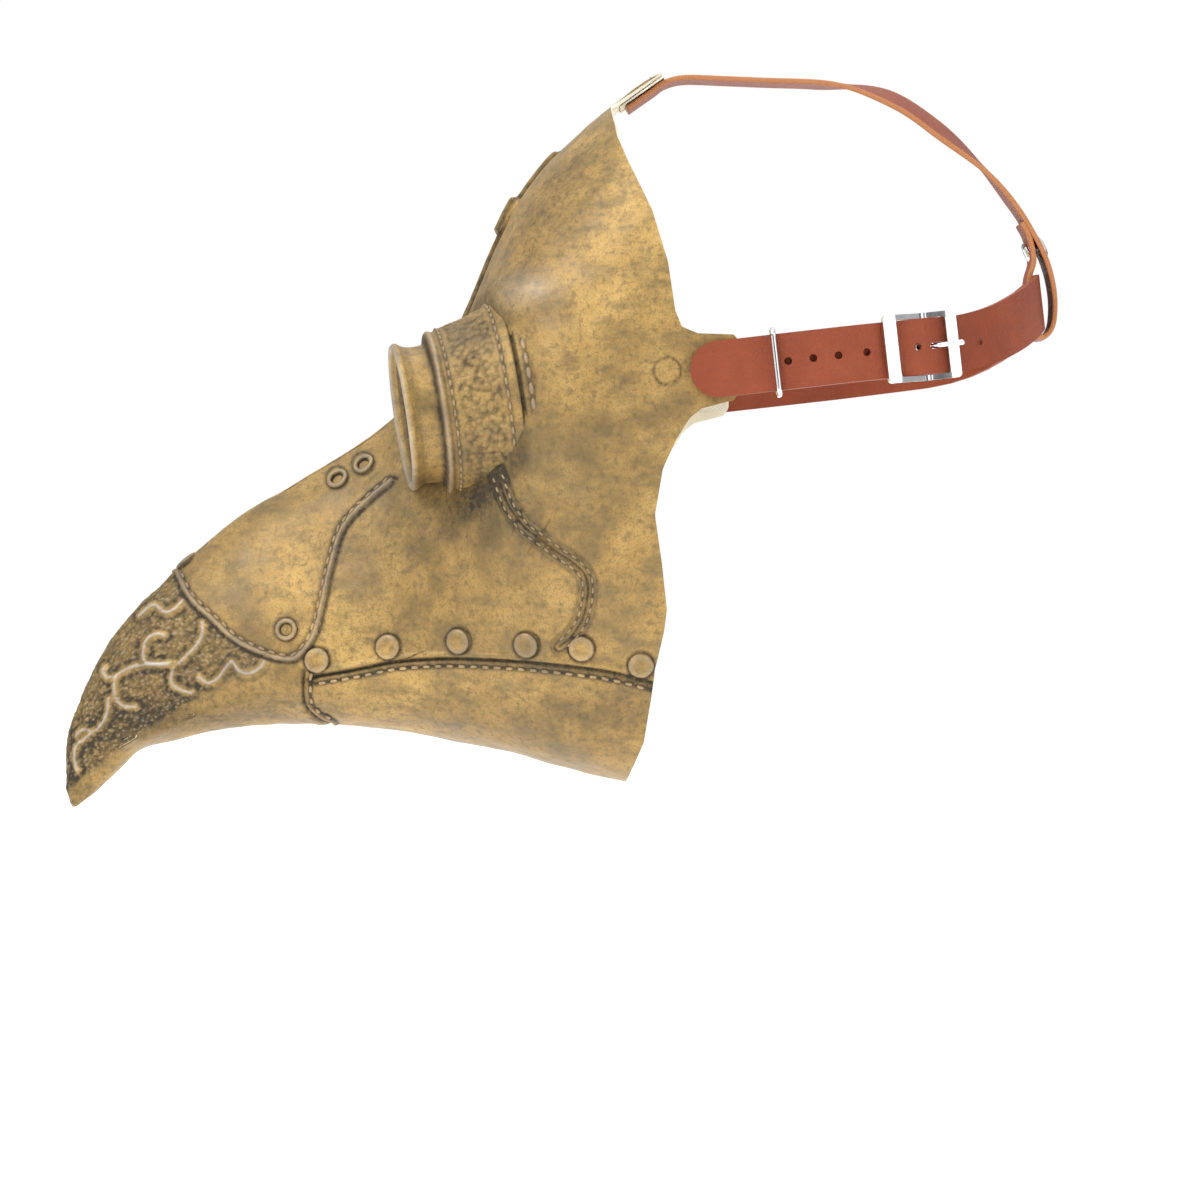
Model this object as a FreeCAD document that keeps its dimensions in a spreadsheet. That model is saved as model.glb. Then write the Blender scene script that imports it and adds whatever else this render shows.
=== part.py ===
import FreeCAD, Part
import math
import os
import Sketcher
from FreeCAD import Placement, Rotation, Vector

# Plague doctor mask with a leather head harness.
#
# Frame: millimetres, origin at the middle of the wearer's head on the level of the
# temples, +Z up, -Y towards the beak, +X towards the wearer's left.  The plane X = 0
# is the mask's mirror plane.

doc = FreeCAD.newDocument("plague_doctor_mask")

DIMENSIONS = {
    # latex casting
    "wall": 2.2,
    "temple_face_x": 75.5, "tab_thickness": 1.9, "tab_back_y": -34.5, "tab_front_y": -58,
    "tab_height": 21, "tab_corner": 4, "gauze_thickness": 0.6,
    # eye barrels: middle of the rim, turn outwards and downwards
    "barrel_x": 40, "barrel_y": -153.2, "barrel_z": -18.7, "barrel_yaw": 7, "barrel_pitch": 8.5,
    "lip_radius": 26.2, "waist_radius": 24.2, "collar_front_radius": 28.2,
    "collar_base_radius": 35.5, "collar_start": 12, "collar_end": 38, "barrel_wall": 1.9,
    "ledge_radius": 21.2, "ledge_depth": 4, "lens_radius": 22.2, "lens_thickness": 1.2,
    "glue_thickness": 1.8, "glue_inner_radius": 20.8,
    # moulded studs and eyelets
    "stud_radius": 4.4, "stud_height": 1.2, "eyelet_radius": 4, "eyelet_hole_radius": 1.9,
    # forehead tab
    "top_tab_width": 22, "top_tab_length": 27, "top_tab_angle": 35, "top_tab_y": -61.2,
    "top_tab_z": 106.4,
    # leather
    "strap_width": 19.4, "strap_thickness": 1.8, "short_strap_thickness": 1.6,
    "strap_hole_radius": 1.35, "strap_hole_pitch": 8.7, "pronged_hole": 7,
    "slot_start": 4.3, "slot_end": 8.8, "strap_rise": 6.44, "strap_level": 1.44,
    # harness line round the head: bends before and behind the buckle
    "bend_radius": 36, "bend_angle": 20, "buckle_run": 29.4, "side_radius": 36.9,
    "side_angle": 30, "back_radius": 81.4, "back_level": 24.5,
    # centre-bar buckle
    "buckle_middle": 27, "frame_height": 23.4, "frame_thickness": 2, "window_height": 19.8,
    "frame_half_length": 14.2, "frame_corner": 1.6, "window_front": -9.4,
    "window_length": 19.7, "window_corner": 1.2, "bar_ear": 0.8,
    "bar_offset": 2.5, "bar_level": 3.3, "bar_radius": 0.9, "prong_radius": 0.95,
    "prong_eye_clearance": 0.08, "prong_angle": 30.5, "prong_length": 13.4,
    # wire keeper
    "keeper_at": -22.4, "keeper_wire": 0.9, "keeper_low": -1.3, "keeper_high": 7.3,
    "keeper_half_height": 11.2, "keeper_corner": 2,
    # crown strap rivet
    "rivet_level": 43.5, "rivet_cap_radius": 4.2, "rivet_cap_height": 1.4, "rivet_post_radius": 1.5,
    # thread
    "stitch_length": 2.6, "stitch_radius": 0.25, "stitch_pitch": 3.6, "stitch_margin": 2.4,
    "temple_stitches_y": -44, "fold_stitches_y": -16.5,
}

sheet = doc.addObject("Spreadsheet::Sheet", "Dimensions")
for row, (alias, value) in enumerate(DIMENSIONS.items(), start=1):
    sheet.set("A%d" % row, alias)
    sheet.set("B%d" % row, str(value))
    sheet.setAlias("B%d" % row, alias)
doc.recompute()

sub_parts = []


def dim(alias):
    """Value of a driving dimension, read from the sheet."""
    return float(sheet.get(alias))


def bind(obj, **links):
    """Tie properties of an object to cells or formulas of the sheet."""
    for prop, formula in links.items():
        obj.setExpression(prop, formula)
    return obj


def keep(obj, label):
    """Give a finished sub-part the label that names its node and file."""
    obj.Label = label
    sub_parts.append(obj)
    return obj


def feature(label, shape, placement=None):
    """A sub-part whose shape is made in code."""
    obj = doc.addObject("Part::Feature", label)
    obj.Shape = shape
    if placement is not None:
        obj.Placement = placement
    return keep(obj, label)


# ---------------------------------------------------------------- latex casting

# Cross-sections of the casting from the beak's tip to behind the temples.  Each one
# lies in a plane through a point of the top line and a point of the bottom line,
# square to the mirror plane:
# top y, top z, bottom y, bottom z, half width, height of the widest point as a
# fraction from the top, roundness above it and roundness below it.
STATIONS = [
    (-273.6, -155.5, -271.1, -157.0, 2.2, 0.60, 2.0, 2.0),
    (-275.0, -144.7, -264.2, -151.6, 5.2, 0.70, 1.9, 1.7),
    (-274.7, -133.9, -256.3, -143.6, 8.2, 0.78, 1.9, 1.5),
    (-270.7, -121.0, -248.8, -136.1, 11.5, 0.85, 1.8, 1.4),
    (-262.4, -103.0, -235.4, -133.2, 15.0, 0.86, 1.8, 1.35),
    (-250.2, -86.4, -222.5, -130.0, 19.0, 0.85, 1.75, 1.35),
    (-232.2, -69.8, -208.1, -128.2, 23.5, 0.83, 1.7, 1.4),
    (-210.6, -52.6, -191.5, -127.4, 28.0, 0.80, 1.65, 1.6),
    (-186.5, -38.2, -173.5, -128.2, 32.0, 0.78, 1.6, 1.8),
    (-162.7, -23.0, -154.1, -130.0, 37.0, 0.75, 1.6, 2.0),
    (-145.8, -6.5, -135.0, -133.6, 45.0, 0.68, 1.7, 2.3),
    (-132.1, 16.2, -115.2, -137.5, 56.0, 0.60, 1.9, 2.6),
    (-121.7, 40.7, -97.2, -142.6, 66.0, 0.50, 2.3, 2.8),
    (-110.2, 62.6, -82.8, -146.2, 71.5, 0.45, 2.4, 2.8),
    (-96.5, 78.8, -68.4, -148.7, 74.3, 0.42, 2.3, 2.7),
    (-78.5, 94.7, -50.4, -151.2, 75.4, 0.38, 2.3, 2.7),
    (-58.3, 107.3, -28.8, -153.0, 75.6, 0.38, 2.3, 2.7),
    (-20.0, 118.0, 4.0, -155.0, 75.6, 0.38, 2.3, 2.7),
]
# One more section, which only the hollow reaches, so that it runs out of the casting.
BEYOND = (0.0, 122.0, 20.0, -157.0, 75.6, 0.38, 2.3, 2.7)

# Rear edge of the casting seen from the side, top to chin, without the tabs.
REAR_EDGE = [
    (-90.0, 125.0), (-79.5, 92.0), (-76.8, 80.0), (-73.0, 70.2), (-64.8, 52.5), (-59.3, 34.0),
    (-56.4, 13.0), (-55.6, -3.0), (-56.6, -24.0), (-61.1, -37.5), (-63.8, -53.4),
    (-61.3, -70.7), (-59.6, -86.3), (-60.6, -93.9), (-63.7, -107.1), (-65.0, -117.6),
    (-67.4, -132.6), (-73.5, -147.2), (-80.0, -165.0),
]


def section_wire(station, inset):
    """Closed smooth outline of one cross-section, drawn inwards by the inset."""
    top_y, top_z, low_y, low_z, half_width, widest, above, below = station
    top = Vector(0, top_y, top_z)
    down = Vector(0, low_y, low_z) - top
    depth = down.Length - 2 * inset
    down.normalize()
    top = top + down * inset
    half_width = half_width - inset
    quarter = 7
    side = []
    for step in range(quarter + 1):
        turn = math.radians(90.0 * step / quarter)
        side.append((half_width * math.sin(turn) ** (2 / above),
                     widest * (1 - math.cos(turn) ** (2 / above))))
    for step in range(1, quarter + 1):
        turn = math.radians(90.0 * step / quarter)
        side.append((half_width * abs(math.cos(turn)) ** (2 / below),
                     widest + (1 - widest) * math.sin(turn) ** (2 / below)))
    left = [top + down * (t * depth) + Vector(x, 0, 0) for x, t in side[:-1]]
    bottom = [top + down * depth]
    right = [Vector(-p.x, p.y, p.z) for p in reversed(left[1:])]
    curve = Part.BSplineCurve()
    curve.interpolate(Points=left + bottom + right, PeriodicFlag=True)
    return Part.Wire([curve.toShape()])


def casting_body(stations, inset):
    """Solid lofted through the cross-sections."""
    return Part.makeLoft([section_wire(s, inset) for s in stations], True, False)


def barrel_axis(side):
    """Direction in which an eye barrel points, side +1 left and -1 right."""
    yaw, pitch = math.radians(dim("barrel_yaw")), math.radians(dim("barrel_pitch"))
    return Vector(side * math.sin(yaw) * math.cos(pitch),
                  -math.cos(yaw) * math.cos(pitch), -math.sin(pitch))


def barrel_placement(side, depth=0.0):
    """Local +Z points out of the barrel, and the origin lies at the depth below the rim."""
    axis = barrel_axis(side)
    rim = Vector(side * dim("barrel_x"), dim("barrel_y"), dim("barrel_z"))
    return Placement(rim - axis * depth, Rotation(Vector(0, 0, 1), axis))


def revolve(outline):
    """Solid of revolution about Z from (radius, height) points."""
    points = [Vector(r, 0, h) for r, h in outline]
    face = Part.Face(Part.makePolygon(points + points[:1]))
    return face.revolve(Vector(0, 0, 0), Vector(0, 0, 1), 360)


def barrel_outside():
    """Rolled lip, waist, step and flared collar of an eye barrel."""
    lip, waist, front = dim("lip_radius"), dim("waist_radius"), dim("collar_front_radius")
    base, start, end = dim("collar_base_radius"), dim("collar_start"), dim("collar_end")
    return revolve([
        (0, 0), (lip - 0.6, 0), (lip, -0.7), (lip, -1.8), (lip - 1.2, -3.2), (waist, -6),
        (waist + 0.2, -start), (front, -start), (front + 1.8, -start - 8),
        (base - 2.2, -end + 7), (base, -end), (base - 4, -end - 8), (0, -end - 8)])


def barrel_inside():
    """Hollow of an eye barrel: mouth, lens ledge, lens seat and flared throat."""
    wall, start, end = dim("barrel_wall"), dim("collar_start"), dim("collar_end")
    mouth = dim("lip_radius") - 2.6
    ledge, seat = dim("ledge_radius"), dim("lens_radius")
    low = -dim("ledge_depth") - 1.2
    base = dim("collar_base_radius") - wall
    return revolve([
        (0, 2), (mouth, 2), (mouth, -1), (ledge, -3.4), (ledge, low), (seat, low),
        (seat, -start - 0.6), (dim("collar_front_radius") - wall, -start - wall),
        (dim("collar_front_radius"), -start - 9), (base - 2.2, -end + 7), (base, -end),
        (base - 5, -end - 10), (base - 9, -end - 20), (0, -end - 20)])


def skin_point(skin, y, z, side):
    """Point and outward normal where a line along X meets the side of the casting."""
    line = Part.makeLine(Vector(0, y, z), Vector(side * 120, y, z))
    ends = [v.Point for v in skin.common(line).Vertexes]
    point = max(ends, key=lambda p: abs(p.x))
    face = skin.Faces[0]
    u, v = face.Surface.parameter(point)
    normal = face.Surface.normal(u, v)
    if normal.x * side < 0:
        normal = normal * -1
    return point, normal


STUDS = [(-183.0, -104.7), (-157.6, -100.4), (-132.5, -98.3), (-108.5, -99.5), (-89.2, -100.7),
         (-68.6, -107.0)]
EYELETS = [(-194.0, -93.3), (-176.6, -39.6), (-167.2, -34.4)]


def largest(shape):
    """The biggest solid of a shape."""
    return max(shape.Solids, key=lambda solid: solid.Volume)


def boss(skin, place, side, radius, height):
    """Low round boss standing on the casting."""
    point, normal = skin_point(skin, place[0], place[1], side)
    return Part.makeCylinder(radius, height + 1.2, point - normal * 1.2, normal)


def region_behind():
    """Everything behind the rear edge of the casting."""
    first, last = REAR_EDGE[0], REAR_EDGE[-1]
    edge = Part.BSplineCurve()
    edge.interpolate([Vector(-100, y, z) for y, z in REAR_EDGE])
    corners = [last, (80, last[1]), (80, 140), (first[0], 140), first]
    back = Part.makePolygon([Vector(-100, y, z) for y, z in corners])
    outline = Part.Wire([edge.toShape()] + back.Edges)
    return Part.Face(outline).extrude(Vector(200, 0, 0))


def mask_casting():
    """The whole latex casting with barrels, studs, eyelets and tabs."""
    skin = casting_body(STATIONS, 0)
    hollow = casting_body(STATIONS[2:] + [BEYOND], dim("wall"))
    bosses, pits = [], []
    for side in (1, -1):
        throat = barrel_inside()
        throat.Placement = barrel_placement(side)
        pits.append(throat)
        for place in STUDS:
            bosses.append(boss(skin, place, side, dim("stud_radius"), dim("stud_height")))
        for place in EYELETS:
            bosses.append(boss(skin, place, side, dim("eyelet_radius"), dim("stud_height")))
            point, normal = skin_point(skin, place[0], place[1], side)
            pits.append(Part.makeCylinder(dim("eyelet_hole_radius"), 2.0, point - normal * 0.2,
                                          normal))
    body = skin.cut(region_behind()).fuse(bosses)
    for side in (1, -1):
        barrel = barrel_outside()
        barrel.Placement = barrel_placement(side)
        body = body.fuse(barrel)
    body = body.cut(hollow)
    for pit in pits:
        body = body.cut(pit)
    tabs = [temple_tab(1), temple_tab(-1),
            forehead_tab(0, dim("tab_thickness"), dim("top_tab_length"))]
    for tab in tabs:
        body = body.fuse(tab)
    return largest(body)


def temple_plate(side, depth, thickness, margin):
    """Plate on the temple at a depth below its outer face, rounded at its rear end."""
    half = dim("tab_height") / 2 - margin
    front, back = dim("tab_front_y") + margin, dim("tab_back_y") - margin
    outer = dim("temple_face_x") - depth
    low = outer - thickness if side > 0 else -outer
    plate = Part.makeBox(thickness, back - front, 2 * half, Vector(low, front, -half))
    rear = [e for e in plate.Edges if abs(e.CenterOfMass.y - back) < 0.01
            and abs(e.CenterOfMass.z) > half - 0.01]
    plate = plate.makeFillet(dim("tab_corner"), rear)
    plate.Placement = harness_placement()
    return plate


def temple_tab(side):
    """Flat tongue of the casting that the harness is sewn to."""
    return temple_plate(side, 0, dim("tab_thickness"), 0)


def tab_direction():
    """Unit vectors along the forehead tab, rearwards, and square to it, upwards."""
    angle = math.radians(dim("top_tab_angle"))
    return (Vector(0, math.cos(angle), math.sin(angle)),
            Vector(0, -math.sin(angle), math.cos(angle)))


def forehead_tab(depth, thickness, length):
    """Layer of the forehead tab, the given depth below its painted face."""
    along, up = tab_direction()
    end = Vector(0, dim("top_tab_y"), dim("top_tab_z")) - up * depth
    corners = [end, end - along * length, end - along * length - up * thickness,
               end - up * thickness]
    half = Vector(dim("top_tab_width") / 2, 0, 0)
    face = Part.Face(Part.makePolygon([c - half for c in corners + corners[:1]]))
    return face.extrude(half * 2)


# ---------------------------------------------------------------- harness line

def harness_line(run):
    """Point and outward direction on the head line, at a run from the temple's bend.

    Drawn in the harness plane: x outwards on the left, y rearwards.  Runs below zero
    are the straight stretch over the temple."""
    x, y, turn = dim("temple_face_x"), 0.0, 0.0
    if run <= 0:
        return Vector(x, run, 0), 0.0
    pieces = [(dim("bend_radius"), dim("bend_angle")), (None, dim("buckle_run")),
              (dim("side_radius"), dim("side_angle")),
              (dim("back_radius"), 90 - dim("bend_angle") - dim("side_angle"))]
    for radius, amount in pieces:
        if radius is None:
            step = min(run, amount)
            x -= step * math.sin(turn)
            y += step * math.cos(turn)
            run -= step
        else:
            step = min(run, radius * math.radians(amount))
            new = turn + step / radius
            x -= radius * (math.cos(turn) - math.cos(new))
            y += radius * (math.sin(new) - math.sin(turn))
            turn = new
            run -= step
        if run <= 1e-9:
            break
    return Vector(x, y, 0), turn


def half_run():
    """Length of the head line from the temple's bend to the back of the head."""
    return (dim("bend_radius") * math.radians(dim("bend_angle")) + dim("buckle_run")
            + dim("side_radius") * math.radians(dim("side_angle"))
            + dim("back_radius") * math.radians(90 - dim("bend_angle") - dim("side_angle")))


def harness_placement():
    """Places shapes drawn in the harness plane, which rises to the rear."""
    return Placement(Vector(0, 0, dim("strap_level")),
                     Rotation(Vector(1, 0, 0), dim("strap_rise")))


def off_line(run, level):
    """Point at a level above the head line."""
    point, turn = harness_line(run)
    return point + Vector(math.cos(turn), math.sin(turn), 0) * level


def smooth_through(points, count):
    """Evenly spread samples of the smooth curve through the points."""
    curve = Part.BSplineCurve()
    curve.interpolate(points)
    return curve.discretize(count)


def along_head(levels, count):
    """Samples of a strap's middle line, from its levels at runs along the head line."""
    flat = smooth_through([Vector(run, level, 0) for run, level in levels], count)
    return [off_line(p.x, p.y) for p in flat]


def ribbon(samples, thickness, across, normal):
    """Solid strip of even thickness along flat samples, as wide as the across vector."""
    outer, inner = [], []
    for i, point in enumerate(samples):
        ahead = samples[min(i + 1, len(samples) - 1)] - samples[max(i - 1, 0)]
        ahead.normalize()
        out = normal.cross(ahead)
        outer.append(point + out * (thickness / 2) - across * 0.5)
        inner.append(point - out * (thickness / 2) - across * 0.5)
    inner.reverse()
    there, back = Part.BSplineCurve(), Part.BSplineCurve()
    there.interpolate(outer)
    back.interpolate(inner)
    outline = Part.Wire([there.toShape(), Part.makeLine(outer[-1], inner[0]), back.toShape(),
                         Part.makeLine(inner[-1], outer[0])])
    return Part.Face(outline).extrude(across)


UP = Vector(0, 0, 1)


def buckle_place():
    """Buckle frame of reference: x rearwards along the strap, y outwards, z down."""
    run = dim("buckle_middle")
    point, turn = harness_line(run)
    ahead = Vector(-math.sin(turn), math.cos(turn), 0)
    out = Vector(math.cos(turn), math.sin(turn), 0)
    matrix = FreeCAD.Matrix(ahead.x, out.x, 0, point.x,
                            ahead.y, out.y, 0, point.y,
                            0, 0, -1, 0,
                            0, 0, 0, 1)
    return harness_placement().multiply(Placement(matrix))


# ---------------------------------------------------------------- straps

# Level of the tail's middle above the head line, at runs along the line: over the
# sewn end, over the fold's stitched end, under the front side of the buckle, over its
# bar, under its rear side and down onto the head.
TAIL_LEVELS = [(-52, 3.2), (-38, 3.2), (-28, 3.8), (-18, 4.9), (-4, 4.9), (8, 4.9), (15.5, 5.2),
               (22, 6.3), (29.0, 7.2), (33, 5.9), (35.8, 4.0), (38.5, 2.7), (42, 2.1),
               (50, 1.4), (66, 1.0)]


def climb(run):
    """Lift of the rear strap off the harness plane, behind the buckle."""
    level_end = dim("bend_radius") * math.radians(dim("bend_angle")) + dim("buckle_run") - 4
    total = half_run()
    back = harness_placement().multVec(off_line(total, 1.0)).z
    share = max(0.0, (run - level_end) / (total - level_end))
    return (dim("back_level") - back) * share ** 2 * (3 - 2 * share)


def strap_frames():
    """Middles, outward directions and width directions of the rear strap's sections."""
    place = harness_placement()
    total = half_run()
    last = TAIL_LEVELS[-1][0]
    flat = smooth_through([Vector(run, level, 0) for run, level in TAIL_LEVELS], 56)
    left = [(p.x, p.y) for p in flat]
    left += [(last + (total - last) * k / 9, TAIL_LEVELS[-1][1]) for k in range(1, 9)]
    right = [(run, TAIL_LEVELS[-1][1]) for run in
             (108, 99, 90, 81, 72, 64, 56, 48, 40, 32, 24, 16, 10, 5, -2, -12, -25, -38, -52)]

    def middle(run, level, side):
        point = place.multVec(off_line(run, level))
        return Vector(side * point.x, point.y, point.z + climb(run))

    middles = [middle(run, level, 1) for run, level in left]
    back = middle(total, TAIL_LEVELS[-1][1], 1)
    middles.append(Vector(0, back.y, back.z))
    middles += [middle(run, level, -1) for run, level in right]
    frames = []
    for i, point in enumerate(middles):
        ahead = middles[min(i + 1, len(middles) - 1)] - middles[max(i - 1, 0)]
        ahead.normalize()
        out = ahead.cross(place.Rotation.multVec(UP))
        out.normalize()
        frames.append((point, out, out.cross(ahead)))
    return frames


def strap_section(frame, thickness, width):
    """Rectangular section of a strap."""
    centre, out, wide = frame
    corners = [centre + out * (a * thickness / 2) + wide * (b * width / 2)
               for a, b in ((-1, -1), (1, -1), (1, 1), (-1, 1))]
    return Part.makePolygon(corners + corners[:1])


def round_end(run, width):
    """Tool that rounds the strap's free tip."""
    half, spare, reach = width / 2, 4, 12
    start = dim("temple_face_x") - 3
    block = Part.makeBox(reach, half + spare, width + 2 * spare,
                         Vector(start, run - spare, -half - spare))
    disc = Part.makeCylinder(half, reach + 2 * spare, Vector(start - spare, run + half, 0),
                             Vector(1, 0, 0))
    tool = block.cut(disc)
    tool.Placement = harness_placement()
    return tool


def rear_strap():
    """Long strap: free perforated tip on the left, round the head, sewn on the right."""
    width, thickness = dim("strap_width"), dim("strap_thickness")
    band = Part.makeLoft([strap_section(f, thickness, width) for f in strap_frames()],
                         True, True)
    band = band.cut(round_end(TAIL_LEVELS[0][0], width))
    tools = []
    place = harness_placement()
    hole_run = dim("buckle_middle") + dim("pronged_hole")
    behind, ahead_of_it = 2, 6
    for k in range(-behind, ahead_of_it + 1):
        run = hole_run - dim("strap_hole_pitch") * k
        point, turn = harness_line(run)
        out = Vector(math.cos(turn), math.sin(turn), 0)
        if k == 0:
            tools.append(prong_slot())
            continue
        tool = Part.makeCylinder(dim("strap_hole_radius"), 14, point - out * 1, out)
        tool.Placement = place
        tools.append(tool)
    return largest(band.cut(tools))


def prong_slot():
    """Stretched hole that the prong stands in."""
    place = buckle_place()
    radius, through = dim("prong_radius") + 0.35, 14
    first, last = dim("slot_start"), dim("slot_end")
    tool = Part.makeBox(last - first, through, 2 * radius, Vector(first, -1, -radius))
    for end in (first, last):
        tool = tool.fuse(Part.makeCylinder(radius, through, Vector(end, -1, 0),
                                           Vector(0, 1, 0)))
    tool.Placement = place
    return tool


def buckle_strap():
    """Short strap sewn to the left temple and folded round the buckle's bar."""
    thickness = dim("short_strap_thickness")
    low, high = thickness / 2, thickness * 1.5 + 0.1
    bar_run, bar = dim("buckle_middle") + dim("bar_offset"), dim("bar_level")
    bend = dim("bar_radius") + 0.3 + thickness / 2
    line = [(-50, low), (-30, low), (-10, low), (10, low), (18, low), (24, low + 0.15)]
    for angle in range(-90, 91, 30):
        turn = math.radians(angle)
        line.append((bar_run + bend * math.cos(turn), bar + bend * math.sin(turn)))
    line += [(25, bar + bend - 0.9), (20, high + 0.9), (14, high + 0.2), (6, high), (-6, high),
             (-19, high)]
    band = ribbon(along_head(line, 160), thickness, Vector(0, 0, dim("strap_width")), UP)
    band.Placement = harness_placement()
    band = band.cut(round_end(line[0][0] + 0.4, dim("strap_width")))
    slot = Part.makeBox(11, 9, 3.4, Vector(dim("bar_offset") - 4.6, -1.5, -1.7))
    slot.Placement = buckle_place()
    return largest(band.cut(slot))


# Middle line of the crown strap in the mirror plane: from below the forehead tab over
# the crown, outside the rear strap, round under it and back up inside it.
CROWN_LINE = [
    (-52.5, 104.6), (-38.0, 104.2), (-23.4, 103.6), (-6.0, 103.0), (10.8, 101.3), (25.2, 96.2),
    (40.3, 85.6), (55.2, 72.4), (66.6, 58.4), (73.0, 48.0), (77.0, 40.0), (79.4, 32.0),
    (80.4, 24.0), (79.9, 16.5), (78.0, 12.6), (75.0, 11.2), (72.0, 12.6), (70.6, 17.0),
    (70.2, 25.0), (70.9, 33.0), (72.4, 39.2), (70.9, 46.9), (68.2, 52.4)]


def crown_samples():
    """Samples of the crown strap's middle line."""
    along, up = tab_direction()
    under = dim("tab_thickness") + dim("gauze_thickness") + 0.3 + dim("strap_thickness") / 2
    tip = Vector(0, dim("top_tab_y"), dim("top_tab_z")) - up * under
    sewn = [tip - along * reach for reach in (17, 12, 6, 1)]
    return smooth_through(sewn + [Vector(0, y, z) for y, z in CROWN_LINE], 160)


def rivet_place():
    """Rivet through both legs of the loop: local +Z points outwards, origin inside."""
    samples = crown_samples()
    lowest = min(range(len(samples)), key=lambda i: samples[i].z if samples[i].y > 40 else 999)
    outer = [i for i in range(lowest) if samples[i].y > 40]
    nearest = min(outer, key=lambda i: abs(samples[i].z - dim("rivet_level")))
    ahead = samples[nearest + 1] - samples[nearest - 1]
    ahead.normalize()
    out = Vector(0, -ahead.z, ahead.y)
    across = min(samples[lowest:], key=lambda p: abs((p - samples[nearest]).dot(ahead)))
    gap = (samples[nearest] - across).dot(out)
    inner_face = samples[nearest] - out * (gap + dim("strap_thickness") / 2)
    return Placement(inner_face, Rotation(UP, out)), gap + dim("strap_thickness")


def crown_strap():
    """Strap over the crown, looped round the rear strap and riveted to itself."""
    band = ribbon(crown_samples(), dim("strap_thickness"), Vector(dim("strap_width"), 0, 0),
                  Vector(1, 0, 0))
    place, grip = rivet_place()
    bore = Part.makeCylinder(dim("rivet_post_radius"), grip + 4, Vector(0, 0, -2))
    bore.Placement = place
    return largest(band.cut(bore))


def rivet_dome(flip):
    """Low domed rivet head standing on its flat face."""
    radius, height = dim("rivet_cap_radius"), dim("rivet_cap_height")
    return revolve([(0, 0), (radius, 0), (radius, flip * 0.4), (radius * 0.75, flip * 1.1),
                    (radius * 0.4, flip * height), (0, flip * height)])


def rivet_post(grip):
    """Inner rivet head with its post."""
    post = Part.makeCylinder(dim("rivet_post_radius"), grip)
    return largest(rivet_dome(-1).fuse(post))


# ---------------------------------------------------------------- buckle

def buckle_frame():
    """Bowed rectangular frame: wide front side, thin rear side, low at its bar."""
    half, thick = dim("frame_height") / 2, dim("frame_thickness")
    end, front = dim("frame_half_length"), dim("window_front")
    bow = [(-end, 8.2), (-11.5, 8.2), (front + 0.2, 7.9), (-3, 5.4),
           (dim("bar_offset"), dim("bar_level")), (7, 4.3), (10.4, 5.6), (12.2, 5.9),
           (end, 5.9)]
    samples = smooth_through([Vector(u, n, 0) for u, n in bow], 40)
    plate = ribbon(samples, thick, Vector(0, 0, 2 * half), UP)
    corners = [e for e in plate.Edges if abs(abs(e.CenterOfMass.x) - end) < 0.6
               and abs(abs(e.CenterOfMass.z) - half) < 0.01]
    plate = plate.makeFillet(dim("frame_corner"),
                             [e for e in corners if e.Length < thick + 0.1])
    open_half, through = dim("window_height") / 2, 20
    window = Part.makeBox(dim("window_length"), through, 2 * open_half,
                          Vector(front, -through / 5, -open_half))
    window = window.makeFillet(dim("window_corner"),
                               [e for e in window.Edges if e.Length == through])
    plate = plate.cut(window)
    bar = Vector(dim("bar_offset"), dim("bar_level"), 0)
    ears = [Part.makeCylinder(dim("bar_radius") + dim("bar_ear"), half - open_half,
                              bar + UP * height) for height in (-half, open_half)]
    bore = Part.makeCylinder(dim("bar_radius"), 60, bar - UP * 30)
    return largest(plate.fuse(ears).cut(bore))


def buckle_prong():
    """Round wire prong: an eye round the bar and a straight tongue with a blunt tip."""
    wire = dim("prong_radius")
    eye = dim("bar_radius") + dim("prong_eye_clearance") + wire
    middle = Vector(dim("bar_offset"), dim("bar_level"), 0)
    angle = math.radians(dim("prong_angle"))
    ahead = Vector(math.cos(angle), math.sin(angle), 0)
    ring = Part.makeTorus(eye, wire, middle, UP)
    tongue = Part.makeCylinder(wire, dim("prong_length") - eye, middle + ahead * eye, ahead)
    tip = Part.makeSphere(wire, middle + ahead * dim("prong_length"))
    bore = Part.makeCylinder(dim("bar_radius") + dim("prong_eye_clearance"), 8,
                             middle - UP * 4)
    return largest(ring.fuse([tongue, tip]).cut(bore))


# ---------------------------------------------------------------- thread

def stitch(place, along):
    """One visible thread stitch: a short round rod with domed ends."""
    length, radius = dim("stitch_length"), dim("stitch_radius")
    along.normalize()
    start = place - along * (length / 2 - radius)
    rod = Part.makeCylinder(radius, length - 2 * radius, start, along)
    ends = [Part.makeSphere(radius, start),
            Part.makeSphere(radius, start + along * (length - 2 * radius))]
    return rod.fuse(ends)


def stitch_row(start, along, count):
    """Stitches in a straight line, one pitch apart."""
    along.normalize()
    return [stitch(start + along * (dim("stitch_pitch") * k), Vector(along))
            for k in range(count)]


def temple_stitches(side, level):
    """Box of stitches that holds a strap to a temple tab."""
    first = dim("temple_stitches_y")
    x = side * (dim("temple_face_x") + level + dim("stitch_radius") + 0.02)
    edge = dim("strap_width") / 2 - dim("stitch_margin")
    rows = []
    for height in (edge, -edge):
        rows += stitch_row(Vector(x, first, height), Vector(0, 1, 0), 4)
    for y in (first - 1.8, first + 3.5 * dim("stitch_pitch")):
        rows += stitch_row(Vector(x, y, -1.5 * dim("stitch_pitch")), Vector(0, 0, 1), 4)
    group = Part.makeCompound(rows)
    group.Placement = harness_placement()
    return group


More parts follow.
